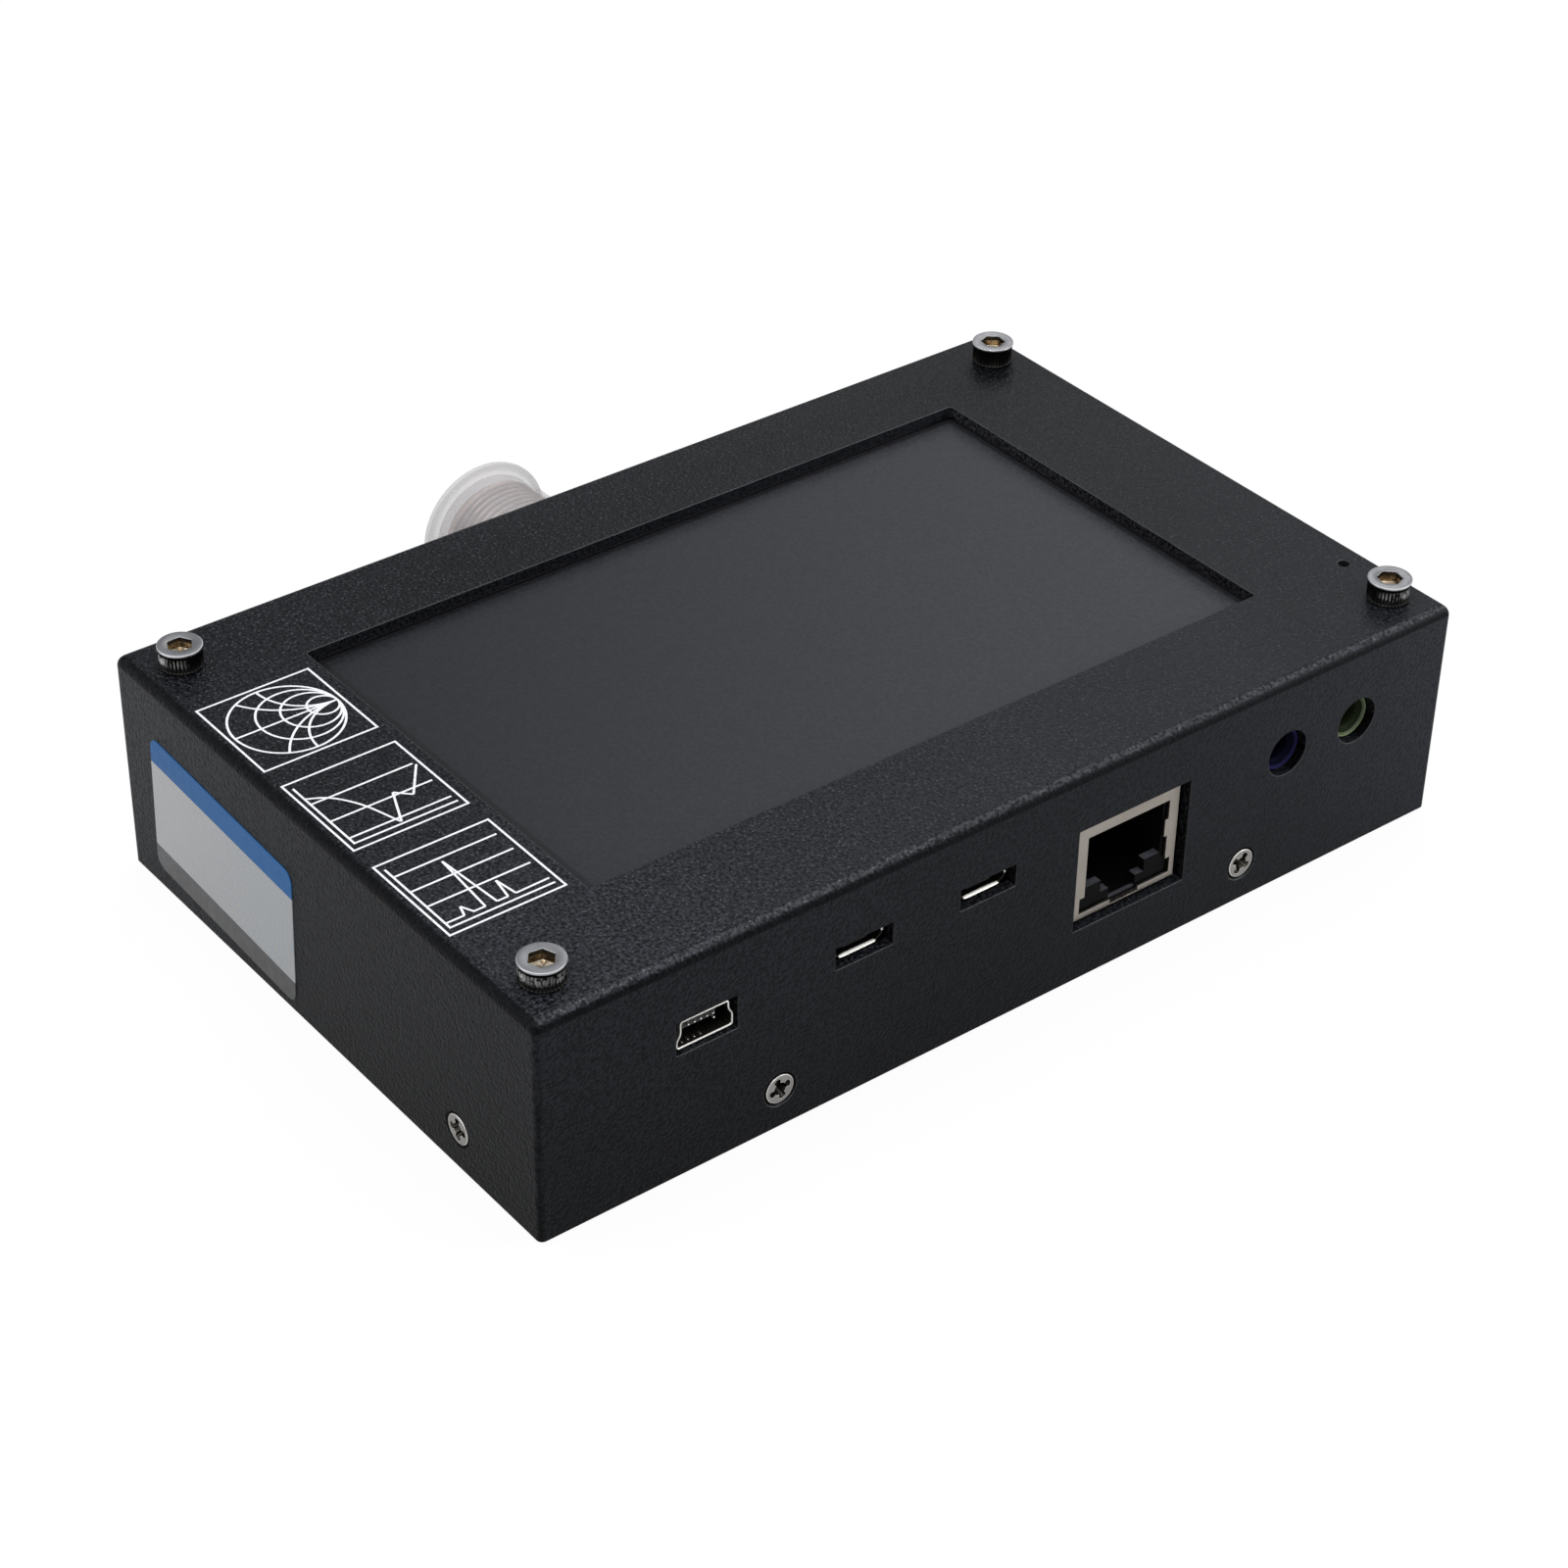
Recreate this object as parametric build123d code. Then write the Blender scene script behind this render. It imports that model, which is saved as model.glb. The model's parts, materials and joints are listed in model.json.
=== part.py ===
from build123d import *
import os

# Antenna analyzer: a folded sheet case round a touch-screen computer board, a plug-on radio
# board, a battery and its charger.
# Frame: +X right along the connector face, +Y towards the aerial socket, +Z up, and the origin
# is the centre of the underside. Millimetres.

# ---- sheet case ----
SHEET = 1.5
TOP_EDGE_R = 1.4
SIDE_EDGE_R = 0.8
PLATE_GAP = 0.1
OVER = 1.0

# ---- screen: window, glass, display, each seated on the next ----
SCREEN_X = 0.2
SCREEN_Y = 1.4
WINDOW_W = 101.2
WINDOW_D = 58.8
WINDOW_R = 0.5
MODULE_LAP_X = 2.15
MODULE_LAP_Y = 4.2
GASKET_T = 0.5
GASKET_MARGIN = 1.0
GLASS_T = 1.6
LCD_T = 3.0
LCD_TAPE_T = 0.8
TAPE_INSET = 4.0

# ---- main board: margins to its posts, the walls and the radio board ----
BOARD_T = 1.6
BOARD_EDGE = 2.8
BOARD_SIDE = 10.0
BOARD_FRONT = 3.25
BOARD_BACK = 7.75
BOARD_HOLE_R = 1.6
CHIP_H = 1.2
MCU_X = 8.9
MCU_W = 14.0
RAM_X = -13.4
RAM_W = 8.0
RAM_D = 13.0
CODEC_W = 7.0
CODEC_Y = -18.0

# ---- corner pillars and socket cap screws (M3) ----
PILLAR_SIDE = 5.3
PILLAR_FRONT = 6.1
PILLAR_BACK = 6.9
PILLAR_AF = 5.5
PILLAR_STUB_R = 2.4
PILLAR_BORE = 10.0
M3_R = 1.5
M3_CLEAR_R = 1.7
CAP_HEAD_R = 2.75
CAP_HEAD_H = 3.0
CAP_KEY_AF = 2.5
CAP_KEY_DEPTH = 1.6
CAP_EDGE = 0.3
CAP_LENGTH = 8.0

# ---- board posts and their pan-head screws (M3) ----
POST_OFF = 3.45
POST_FRONT = 18.5
POST_BACK = 4.0
POST_AF = 5.0
PAN_R = 2.5
PAN_H = 1.9
PAN_LENGTH = 6.0
PAN_SLOT = 0.8

# ---- countersunk side screws (M2.5), tabs and clinch nuts ----
SIDE_Z = 5.4
SIDE_FROM_END = 33.1
SIDE_FROM_FACE = 16.05
CSK_R = 2.35
CSK_HEAD_R = 2.2
CSK_HOLE_R = 1.4
CSK_LENGTH = 6.0
M25_R = 1.25
CROSS_ARM = 2.4
CROSS_W = 0.55
CROSS_DEPTH = 1.0
TAB_W = 9.0
TAB_TOP = 9.5
NUT_COLLAR_R = 2.0
NUT_FLANGE_R = 2.8
NUT_FLANGE_T = 1.6

# ---- connector row: places from the board's left or right edge ----
PORT_GAP = 0.45
PORT_CORNER_R = 0.2
SHELL_T = 0.3
MINI_LEFT = 12.7
MINI_W = 7.6
MINI_TOP_W = 6.6
MINI_H = 3.75
MINI_STEP = 1.75
MINI_SLOPE = 0.7
MINI_LEN = 9.2
MINI_RECESS = 0.4
MINI_BLOCK = 4.6
MINI_TONGUE_W = 4.6
MINI_TONGUE_T = 1.0
MINI_TONGUE_Z = 1.25
MINI_TONGUE_BACK = 1.25
MICRO_LEFTS = (34.8, 53.1)
MICRO_W = 7.5
MICRO_H = 2.45
MICRO_BEVEL_W = 1.2
MICRO_BEVEL_H = 0.8
MICRO_LOW_GAP = 0.25
MICRO_LEN = 5.4
MICRO_RECESS = 1.25
MICRO_BLOCK = 3.8
MICRO_TONGUE_W = 3.6
MICRO_TONGUE_T = 0.6
MICRO_TONGUE_Z = 1.05
MICRO_TONGUE_BACK = 0.6
RJ_RIGHT = 42.1
RJ_W = 16.0
RJ_H = 13.4
RJ_LEN = 21.3
RJ_RECESS = 0.9
RJ_RIM_TOP = 1.7
RJ_RIM_SIDE = 1.5
RJ_RIM_LOW = 0.75
RJ_FOOT_H = 3.0
RJ_NOTCH_W = 4.5
RJ_NOTCH_T = 0.15
RJ_TOOTH_W = 0.5
RJ_TOOTH_H = 2.5
RJ_TOOTH_DROP = 4.45
RJ_INSERT_BACK = 0.5
RJ_GAP = 0.9
RJ_DROP = 0.7
RJ_PLUG_W = 11.9
RJ_PLUG_H = 7.5
RJ_STEP_W = 7.0
RJ_STEP_H = 1.7
RJ_LATCH_W = 4.3
RJ_LATCH_H = 3.2
RJ_WALL_T = 1.1
RJ_LATCH_ROOM = 8.0
RJ_PLUG_DEPTH = 15.0
RJ_PINS = 8
RJ_PITCH = 1.02
RJ_PIN_W = 0.4
RJ_PIN_T = 0.4
RJ_PIN_DROP = 3.0
RJ_PIN_START = 6.0
JACK_RIGHTS = (17.0, 5.2)
JACK_DROP = 2.1
JACK_HOLE_R = 3.15
JACK_R = 2.95
JACK_BORE_R = 1.8
JACK_BORE_DEPTH = 14.0
JACK_DISH_R = 2.45
JACK_DISH_DEPTH = 0.8
JACK_RECESS = 1.2
JACK_BARREL = 4.0
JACK_W = 6.6
JACK_H = 5.0
JACK_LEN = 12.0

# ---- aerial socket (N pattern) on the back ----
COAX_X = -3.2
COAX_Z = 15.25
COAX_THREAD_R = 7.9
COAX_HOLE_R = 8.1
COAX_FLANGE_R = 10.0
COAX_FLANGE_T = 2.5
COAX_REACH = 17.25
COAX_BEHIND = 5.25
COAX_BORE_R = 4.3
COAX_BORE_DEPTH = 9.0
COAX_CONTACT_R = 1.5
COAX_CONTACT_BORE_R = 0.82
COAX_CONTACT_SHY = 1.2
COAX_STUB = 1.5
COAX_TAIL_R = 0.9
COAX_TAIL = 2.45
COAX_WASHER_R = 10.4
COAX_WASHER_T = 1.0
COAX_NUT_AF = 20.0
COAX_NUT_T = 3.0

# ---- pull-off dust cap ----
DUST_START = 4.2
DUST_WALL = 0.4
DUST_SLACK = 0.2
DUST_END_GAP = 1.15
DUST_END_T = 1.0
DUST_EDGE_R = 0.3
DUST_RIM_R = 9.5
DUST_RIM_T = 0.8

# ---- radio board under the main board ----
RF_X = 0.3
RF_W = 68.6
RF_D = 53.3
RF_T = 1.6
RF_CLEAR = 2.05
RF_EDGE = 3.2
SOCKET_H = 8.5
PLUG_H = 2.5
STRIP_W = 2.5
STRIP_LONG = 24.0
STRIP_GAP = 14.9
STRIP_EDGE = 2.5
PIN_W = 0.64
PIN_DEPTH = 5.8
PIN_COUNT = 8
PITCH = 2.54
CAN_W = 26.0
CAN_D = 20.0
CAN_H = 4.0
CAN_T = 0.3
CAN_EDGE = 5.0
SYNTH_X = -16.8
SYNTH_W = 10.0
SYNTH_H = 1.5

# ---- battery, charger and charging lamp ----
CELL_X = -12.5
CELL_Y = 0.0
CELL_W = 65.0
CELL_D = 36.0
CELL_H = 3.8
CELL_R = 1.2
CELL_TAPE = 0.5
CELL_AIR = 3.1
CHARGE_Y = -4.0
CHARGE_W = 26.0
CHARGE_D = 17.0
CHARGE_T = 1.2
CHARGE_PAD = 3.5
CHARGE_PAD_INSET = 3.0
CHARGE_EDGE = 0.2
LED_SIDE = 4.0
LED_FRONT = 15.05
LED_HOLE_R = 0.8
LED_R = 1.5
LED_H = 5.0

# ---- wires ----
LEAD_R = 0.6
LEAD_SIDE = 3.0
LEAD_RISE = 2.2
LEAD_STEP = 4.0
LEAD_INSET = 3.5
SWITCH_LEAD_OUT = 5.0
SWITCH_LEAD_SIDE = 9.0
SWITCH_LEAD_INSET = 2.0
THIN_LEAD_R = 0.35
THIN_LEAD_DX = 0.8
THIN_LEAD_DROP = 10.5
THIN_LEAD_STEP = 1.0
THIN_LEAD_INSET = 1.6
AERIAL_LEAD_OUT = 4.0

# ---- rocker switch on the back ----
SWITCH_SIDE = 25.0
SWITCH_Z = 15.25
SWITCH_W = 13.0
SWITCH_H = 8.4
SWITCH_DEPTH = 9.0
BEZEL_LAP = 1.0
BEZEL_T = 1.6
WELL_W = 11.0
WELL_H = 7.0
WELL_DEPTH = 6.2
ROCKER_R = 5.2
ROCKER_H = 6.4
ROCKER_BACK = 2.6
ROCKER_PEAK = 0.9
ROCKER_RISE = 1.5
ROCKER_TILT = 11.0
ROCKER_DROP = 0.4
TRUNNION_R = 1.0
TRUNNION_SLACK = 0.06
TRUNNION_LEN = 0.7
BLADE_W = 4.0
BLADE_T = 0.8
BLADE_LEN = 6.0
BLADE_DX = 5.0

# ---- label ----
LABEL_FROM_BACK = 22.75
LABEL_Z = 11.9
LABEL_W = 32.0
LABEL_H = 19.8
LABEL_R = 1.5
LABEL_T = 0.12
LABEL_TURN = 3.2

# ---- stack from the underside up ----
CELL_Z = SHEET + CELL_TAPE
RF_TOP = CELL_Z + CELL_H + CELL_AIR + RF_T
BOARD_Z = RF_TOP + PLUG_H + SOCKET_H
BOARD_TOP = BOARD_Z + BOARD_T
LCD_Z = BOARD_TOP + LCD_TAPE_T
GLASS_Z = LCD_Z + LCD_T
GLASS_TOP = GLASS_Z + GLASS_T
ROOF = GLASS_TOP + GASKET_T
CASE_H = ROOF + SHEET

# ---- half width, from the window out to the wall ----
MODULE_W = WINDOW_W + 2 * MODULE_LAP_X
MODULE_D = WINDOW_D + 2 * MODULE_LAP_Y
POST_X = MODULE_W / 2 + POST_OFF
BOARD_X = POST_X + BOARD_EDGE
X1 = BOARD_X + BOARD_SIDE
IN_X = X1 - SHEET

# ---- depth, from the network socket back through the radio board ----
CASE_D = RJ_RECESS + RJ_LEN + RF_CLEAR + RF_D + RF_EDGE + BOARD_BACK
Y1 = CASE_D / 2
IN_Y = Y1 - SHEET
BOARD_Y0 = -Y1 + BOARD_FRONT
BOARD_Y1 = Y1 - BOARD_BACK
RF_Y = BOARD_Y1 - RF_EDGE - RF_D / 2
COAX_END = Y1 + COAX_REACH

# ---- places along the walls ----
MINI_X = -BOARD_X + MINI_LEFT
MICRO_XS = [-BOARD_X + left for left in MICRO_LEFTS]
RJ_X = BOARD_X - RJ_RIGHT
JACK_XS = [BOARD_X - right for right in JACK_RIGHTS]
JACK_Z = BOARD_Z - JACK_DROP
PORT_Z = SHEET + CHARGE_PAD + CHARGE_T
LED_X = X1 - LED_SIDE
LED_Y = -Y1 + LED_FRONT
SWITCH_X = X1 - SWITCH_SIDE


def box(x0, x1, y0, y1, z0, z1):
    return Pos((x0 + x1) / 2, (y0 + y1) / 2, (z0 + z1) / 2) * Box(x1 - x0, y1 - y0, z1 - z0)


def slab(x, y, w, d, z0, z1):
    return box(x - w / 2, x + w / 2, y - d / 2, y + d / 2, z0, z1)


def rod(start, way, r, length):
    # a round bar from start along the direction way
    ends_at_start = (Align.CENTER, Align.CENTER, Align.MIN)
    return Plane(origin=start, z_dir=way) * Cylinder(r, length, align=ends_at_start)


def hexagon_bar(start, way, across_flats, length):
    plane = Plane(origin=start, z_dir=way)
    return extrude(plane * RegularPolygon(across_flats / 2, 6, major_radius=False), length)


def lead(points, r):
    # a round wire along straight runs with eased corners
    path = FilletPolyline(*points, radius=2 * r)
    face = Plane(origin=path @ 0, z_dir=path % 0) * Circle(r)
    return sweep(face, path)


def group(solids):
    return Compound(children=list(solids))


# ---- fixing positions ----
def pillar_spots():
    x = X1 - PILLAR_SIDE
    return [(sx * x, y) for sx in (-1, 1) for y in (-Y1 + PILLAR_FRONT, Y1 - PILLAR_BACK)]


def post_spots():
    return [(sx * POST_X, y) for sx in (-1, 1) for y in (BOARD_Y0 + POST_FRONT, BOARD_Y1 - POST_BACK)]


def side_xs():
    return (-X1 + SIDE_FROM_END, X1 - SIDE_FROM_END)


def side_ys():
    return (-Y1 + SIDE_FROM_FACE, Y1 - SIDE_FROM_FACE)


def side_spots():
    # a point on each outer wall face and the way in
    walls = [((x, sy * Y1, SIDE_Z), (0, -sy, 0)) for sy in (-1, 1) for x in side_xs()]
    ends = [((sx * X1, y, SIDE_Z), (-sx, 0, 0)) for sx in (-1, 1) for y in side_ys()]
    return walls + ends


def along(spot, way, distance):
    return tuple(s + w * distance for s, w in zip(spot, way))


# ---- case ----
def front_window(x, z0, z1, w):
    face = Plane.XZ * Pos(x, (z0 + z1) / 2) * RectangleRounded(w, z1 - z0, PORT_CORNER_R)
    return Pos(0, -IN_Y + OVER, 0) * extrude(face, SHEET + 2 * OVER)


def blank_cover():
    shell = Pos(0, 0, CASE_H / 2) * Box(2 * X1, CASE_D, CASE_H)
    shell = fillet(shell.edges().filter_by(Axis.Z), SIDE_EDGE_R)
    shell = fillet(shell.edges().group_by(Axis.Z)[-1], TOP_EDGE_R)
    return shell - box(-IN_X, IN_X, -IN_Y, IN_Y, -OVER, ROOF)


def roof_cuts():
    window = Pos(SCREEN_X, SCREEN_Y, ROOF - OVER) * RectangleRounded(WINDOW_W, WINDOW_D, WINDOW_R)
    cuts = [extrude(window, SHEET + 2 * OVER)]
    up = (0, 0, 1)
    cuts += [rod((x, y, ROOF - OVER), up, M3_CLEAR_R, SHEET + 2 * OVER) for x, y in pillar_spots()]
    return cuts + [rod((LED_X, LED_Y, ROOF - OVER), up, LED_HOLE_R, SHEET + 2 * OVER)]


def front_cuts():
    cuts = [front_window(MINI_X, BOARD_Z - MINI_H - PORT_GAP, BOARD_Z + PORT_GAP, MINI_W + 2 * PORT_GAP)]
    for x in MICRO_XS:
        z0 = BOARD_Z - MICRO_H - MICRO_LOW_GAP
        cuts.append(front_window(x, z0, BOARD_Z + PORT_GAP, MICRO_W + 2 * PORT_GAP))
    cuts.append(front_window(RJ_X, BOARD_Z - RJ_H - RJ_DROP, BOARD_Z + RJ_DROP, RJ_W + 2 * RJ_GAP))
    return cuts + [rod((x, -Y1 - OVER, JACK_Z), (0, 1, 0), JACK_HOLE_R, SHEET + 2 * OVER) for x in JACK_XS]


def rear_and_end_cuts():
    socket = rod((COAX_X, IN_Y - OVER, COAX_Z), (0, 1, 0), COAX_HOLE_R, SHEET + 2 * OVER)
    switch = box(SWITCH_X - SWITCH_W / 2, SWITCH_X + SWITCH_W / 2, IN_Y - OVER, Y1 + OVER,
                 SWITCH_Z - SWITCH_H / 2, SWITCH_Z + SWITCH_H / 2)
    half = MICRO_W / 2 + PORT_GAP
    port = box(IN_X - OVER, X1 + OVER, CHARGE_Y - half, CHARGE_Y + half, PORT_Z, PORT_Z + MICRO_H + PORT_GAP)
    return [socket, switch, port]


def countersink(spot, way):
    # a straight hole with a right-angled cone at the outer face
    depth = CSK_R - CSK_HOLE_R
    mouth = Plane(origin=along(spot, way, depth / 2), z_dir=way)
    hole = rod(along(spot, way, -OVER), way, CSK_HOLE_R, SHEET + 2 * OVER)
    return hole + mouth * Cone(CSK_R, CSK_HOLE_R, depth)


def top_cover():
    cuts = roof_cuts() + front_cuts() + rear_and_end_cuts()
    cuts += [countersink(spot, way) for spot, way in side_spots()]
    return blank_cover() - cuts


def bottom_plate():
    plate = slab(0, 0, 2 * (IN_X - PLATE_GAP), 2 * (IN_Y - PLATE_GAP), 0, SHEET)
    for sign in (-1, 1):
        for x in side_xs():
            plate += slab(x, sign * (IN_Y - SHEET / 2), TAB_W, SHEET, 0, TAB_TOP)
        for y in side_ys():
            plate += slab(sign * (IN_X - SHEET / 2), y, SHEET, TAB_W, 0, TAB_TOP)
    for spot, way in side_spots():
        plate -= rod(along(spot, way, SHEET - OVER), way, NUT_COLLAR_R, SHEET + 2 * OVER)
    for x, y in pillar_spots() + post_spots():
        plate -= rod((x, y, -OVER), (0, 0, 1), PILLAR_STUB_R, SHEET + 2 * OVER)
    return plate


def clinch_nut(spot, way):
    start = along(spot, way, SHEET)
    nut = rod(start, way, NUT_COLLAR_R, SHEET)
    nut += rod(along(start, way, SHEET), way, NUT_FLANGE_R, NUT_FLANGE_T)
    return nut - rod(along(start, way, -OVER), way, M25_R, SHEET + NUT_FLANGE_T + 2 * OVER)


def side_screw(spot, way):
    # the head's cone lies on the countersink, a little below the face
    head_top = along(spot, way, CSK_R - CSK_HEAD_R)
    cone_h = CSK_HEAD_R - CSK_HOLE_R
    cone = Plane(origin=along(head_top, way, cone_h / 2), z_dir=way) * Cone(CSK_HEAD_R, CSK_HOLE_R, cone_h)
    screw = cone + rod(along(head_top, way, cone_h), way, M25_R, CSK_LENGTH - cone_h)
    arm = Rectangle(CROSS_ARM, CROSS_W) + Rectangle(CROSS_W, CROSS_ARM)
    cross = Plane(origin=along(head_top, way, -OVER), z_dir=way) * arm
    return screw - extrude(cross, OVER + CROSS_DEPTH)


def pillar(x, y, z_top, across_flats):
    bar = hexagon_bar((x, y, SHEET), (0, 0, 1), across_flats, z_top - SHEET)
    bar += rod((x, y, PLATE_GAP), (0, 0, 1), PILLAR_STUB_R, SHEET)
    return bar - rod((x, y, z_top - PILLAR_BORE), (0, 0, 1), M3_R, PILLAR_BORE + OVER)


def cap_screw(x, y):
    up = (0, 0, 1)
    head = rod((x, y, CASE_H), up, CAP_HEAD_R, CAP_HEAD_H)
    head = chamfer(head.edges().group_by(Axis.Z)[-1], CAP_EDGE)
    key_z = CASE_H + CAP_HEAD_H - CAP_KEY_DEPTH
    head -= hexagon_bar((x, y, key_z), up, CAP_KEY_AF, CAP_KEY_DEPTH + OVER)
    return head + rod((x, y, CASE_H - CAP_LENGTH), up, M3_R, CAP_LENGTH)


def board_screw(x, y):
    head = rod((x, y, BOARD_TOP), (0, 0, 1), PAN_R, PAN_H)
    head = fillet(head.edges().group_by(Axis.Z)[-1], PAN_H / 2)
    head -= slab(x, y, 2 * PAN_R, PAN_SLOT, BOARD_TOP + PAN_H / 2, BOARD_TOP + PAN_H + OVER)
    return head + rod((x, y, BOARD_TOP - PAN_LENGTH), (0, 0, 1), M3_R, PAN_LENGTH)


# ---- main board and screen ----
def main_board():
    board = box(-BOARD_X, BOARD_X, BOARD_Y0, BOARD_Y1, BOARD_Z, BOARD_TOP)
    z0 = BOARD_Z - OVER
    deep = BOARD_T + 2 * OVER
    barrel_end = -Y1 + JACK_RECESS + JACK_BARREL
    for x in JACK_XS:
        board -= box(x - JACK_W / 2, x + JACK_W / 2, BOARD_Y0 - OVER, barrel_end, z0, z0 + deep)
    return board - [rod((x, y, z0), (0, 0, 1), BOARD_HOLE_R, deep) for x, y in post_spots()]


def screen_layer(z0, z1, inset=0.0):
    return slab(SCREEN_X, SCREEN_Y, MODULE_W - inset, MODULE_D - inset, z0, z1)


def screen_stack():
    opening = slab(SCREEN_X, SCREEN_Y, WINDOW_W + GASKET_MARGIN, WINDOW_D + GASKET_MARGIN,
                   GLASS_TOP - OVER, ROOF + OVER)
    return {
        "touch_glass": screen_layer(GLASS_Z, GLASS_TOP),
        "lcd_frame": screen_layer(LCD_Z, GLASS_Z),
        "lcd_tape": screen_layer(BOARD_TOP, LCD_Z, TAPE_INSET),
        "screen_gasket": screen_layer(GLASS_TOP, ROOF) - opening,
    }


def board_chips():
    z = BOARD_Z - CHIP_H
    return {
        "mcu_chip": slab(MCU_X, 0, MCU_W, MCU_W, z, BOARD_Z),
        "sdram_chip": slab(RAM_X, 0, RAM_W, RAM_D, z, BOARD_Z),
        "codec_chip": slab(JACK_XS[0], CODEC_Y, CODEC_W, CODEC_W, z, BOARD_Z),
    }


# ---- network socket ----
def rj45_mouth(y0, plug_top):
    # the plug's room, the stepped slot in the front wall that lets its latch by,
    # and the wider room behind that wall, where the latch springs out and catches
    half = RJ_PLUG_W / 2
    plug_z = plug_top - RJ_PLUG_H
    wall_end = y0 + RJ_INSERT_BACK + RJ_WALL_T
    mouth = box(RJ_X - half, RJ_X + half, y0, y0 + RJ_PLUG_DEPTH, plug_z, plug_top)
    for w, h in ((RJ_STEP_W, RJ_STEP_H), (RJ_LATCH_W, RJ_LATCH_H)):
        mouth += box(RJ_X - w / 2, RJ_X + w / 2, y0, wall_end, plug_z - h, plug_z)
    room_end = wall_end + RJ_LATCH_ROOM
    return mouth + box(RJ_X - half, RJ_X + half, wall_end, room_end, plug_z - RJ_LATCH_H, plug_z)


def rj45_contacts(y1, plug_top):
    # each contact slopes down from the roof of the mouth to its back wall
    profile = Polygon((y1, plug_top), (y1, plug_top - RJ_PIN_DROP), (y1 - RJ_PIN_T, plug_top - RJ_PIN_DROP),
                      (y1 - RJ_PLUG_DEPTH + RJ_PIN_START, plug_top), align=None)
    first = RJ_X - (RJ_PINS - 1) / 2 * RJ_PITCH
    blade = extrude(Plane.YZ * profile, RJ_PIN_W / 2, both=True)
    return group(Pos(first + i * RJ_PITCH, 0, 0) * blade for i in range(RJ_PINS))


def rj45_front(y, z0):
    # the shield's opening: a main window with a tooth in its right side,
    # wider at its foot, and with a notch in the bottom bar
    half = RJ_W / 2
    z_top = BOARD_Z - RJ_RIM_TOP
    side = half - RJ_RIM_SIDE
    foot = half - RJ_RIM_LOW
    tooth_top = BOARD_Z - RJ_TOOTH_DROP
    window = slab(RJ_X, y, 2 * side, 2 * OVER, z0 + RJ_RIM_LOW, z_top)
    window -= slab(RJ_X + side, y, 2 * RJ_TOOTH_W, 2 * OVER, tooth_top - RJ_TOOTH_H, tooth_top)
    window += slab(RJ_X, y, 2 * foot, 2 * OVER, z0 + RJ_RIM_LOW, z0 + RJ_FOOT_H)
    return window + slab(RJ_X, y, RJ_NOTCH_W, 2 * OVER, z0 + RJ_NOTCH_T, z_top)


def rj45_parts():
    y0 = -Y1 + RJ_RECESS
    y1 = y0 + RJ_LEN
    z0 = BOARD_Z - RJ_H
    t = SHELL_T
    core = slab(RJ_X, (y0 + y1) / 2, RJ_W - 2 * t, RJ_LEN - 2 * t, z0 + t, BOARD_Z - t)
    shield = slab(RJ_X, (y0 + y1) / 2, RJ_W, RJ_LEN, z0, BOARD_Z) - core - rj45_front(y0, z0)
    front_room = slab(RJ_X, y0, RJ_W, 2 * RJ_INSERT_BACK, z0, BOARD_Z)
    plug_top = BOARD_Z - RJ_RIM_TOP - t
    insert = core - rj45_mouth(y0, plug_top) - front_room
    contacts = rj45_contacts(y0 + RJ_PLUG_DEPTH, plug_top)
    return {"rj45_shield": shield, "rj45_insert": insert, "rj45_contacts": contacts}


# ---- USB sockets ----
def mini_profile(inset):
    # narrow against the board, stepped out to the wide side; sketch y is height from the board
    n = MINI_TOP_W / 2 - inset
    w = MINI_W / 2 - inset
    h = MINI_H - inset
    slope_end = MINI_STEP + MINI_SLOPE
    return Polygon((-n, -inset), (n, -inset), (n, -MINI_STEP), (w, -slope_end), (w, -h), (-w, -h),
                   (-w, -slope_end), (-n, -MINI_STEP), align=None)


def micro_profile(inset):
    w = MICRO_W / 2 - inset
    h = MICRO_H - inset
    bevel_x = w - MICRO_BEVEL_W
    bevel_y = -h + MICRO_BEVEL_H
    return Polygon((-w, -inset), (w, -inset), (w, bevel_y), (bevel_x, -h), (-bevel_x, -h), (-w, bevel_y),
                   align=None)


def usb_socket(mouth, profile, length, block_start, tongue):
    # mouth: a plane on the board face with z out of the socket
    # tongue: its width, its thickness, its height from the board and its depth in the mouth
    into = -mouth.z_dir
    w, t, z, back = tongue
    shell = extrude(mouth * profile(0), length, dir=into)
    room = extrude(mouth * profile(SHELL_T), length - SHELL_T, dir=into)
    bar = mouth.offset(-block_start) * Pos(0, -length / 2) * Rectangle(2 * length, 2 * length)
    block = extrude(bar, length, dir=into)
    strip = mouth.offset(-back) * Pos(0, -z - t / 2) * Rectangle(w, t)
    return shell - room, (room & block) + extrude(strip, block_start, dir=into)


def front_plane(x, recess):
    return Plane(origin=(x, -Y1 + recess, BOARD_Z), x_dir=(1, 0, 0), z_dir=(0, -1, 0))


def mini_usb_parts():
    tongue = (MINI_TONGUE_W, MINI_TONGUE_T, MINI_TONGUE_Z, MINI_TONGUE_BACK)
    mouth = front_plane(MINI_X, MINI_RECESS)
    shell, insert = usb_socket(mouth, mini_profile, MINI_LEN, MINI_BLOCK, tongue)
    return {"mini_usb_shell": shell, "mini_usb_insert": insert}


def micro_socket(mouth):
    tongue = (MICRO_TONGUE_W, MICRO_TONGUE_T, MICRO_TONGUE_Z, MICRO_TONGUE_BACK)
    return usb_socket(mouth, micro_profile, MICRO_LEN, MICRO_BLOCK, tongue)


def micro_usb_parts():
    parts = {}
    for side, x in zip(("left", "right"), MICRO_XS):
        shell, insert = micro_socket(front_plane(x, MICRO_RECESS))
        parts["micro_usb_shell_" + side] = shell
        parts["micro_usb_insert_" + side] = insert
    return parts


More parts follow.
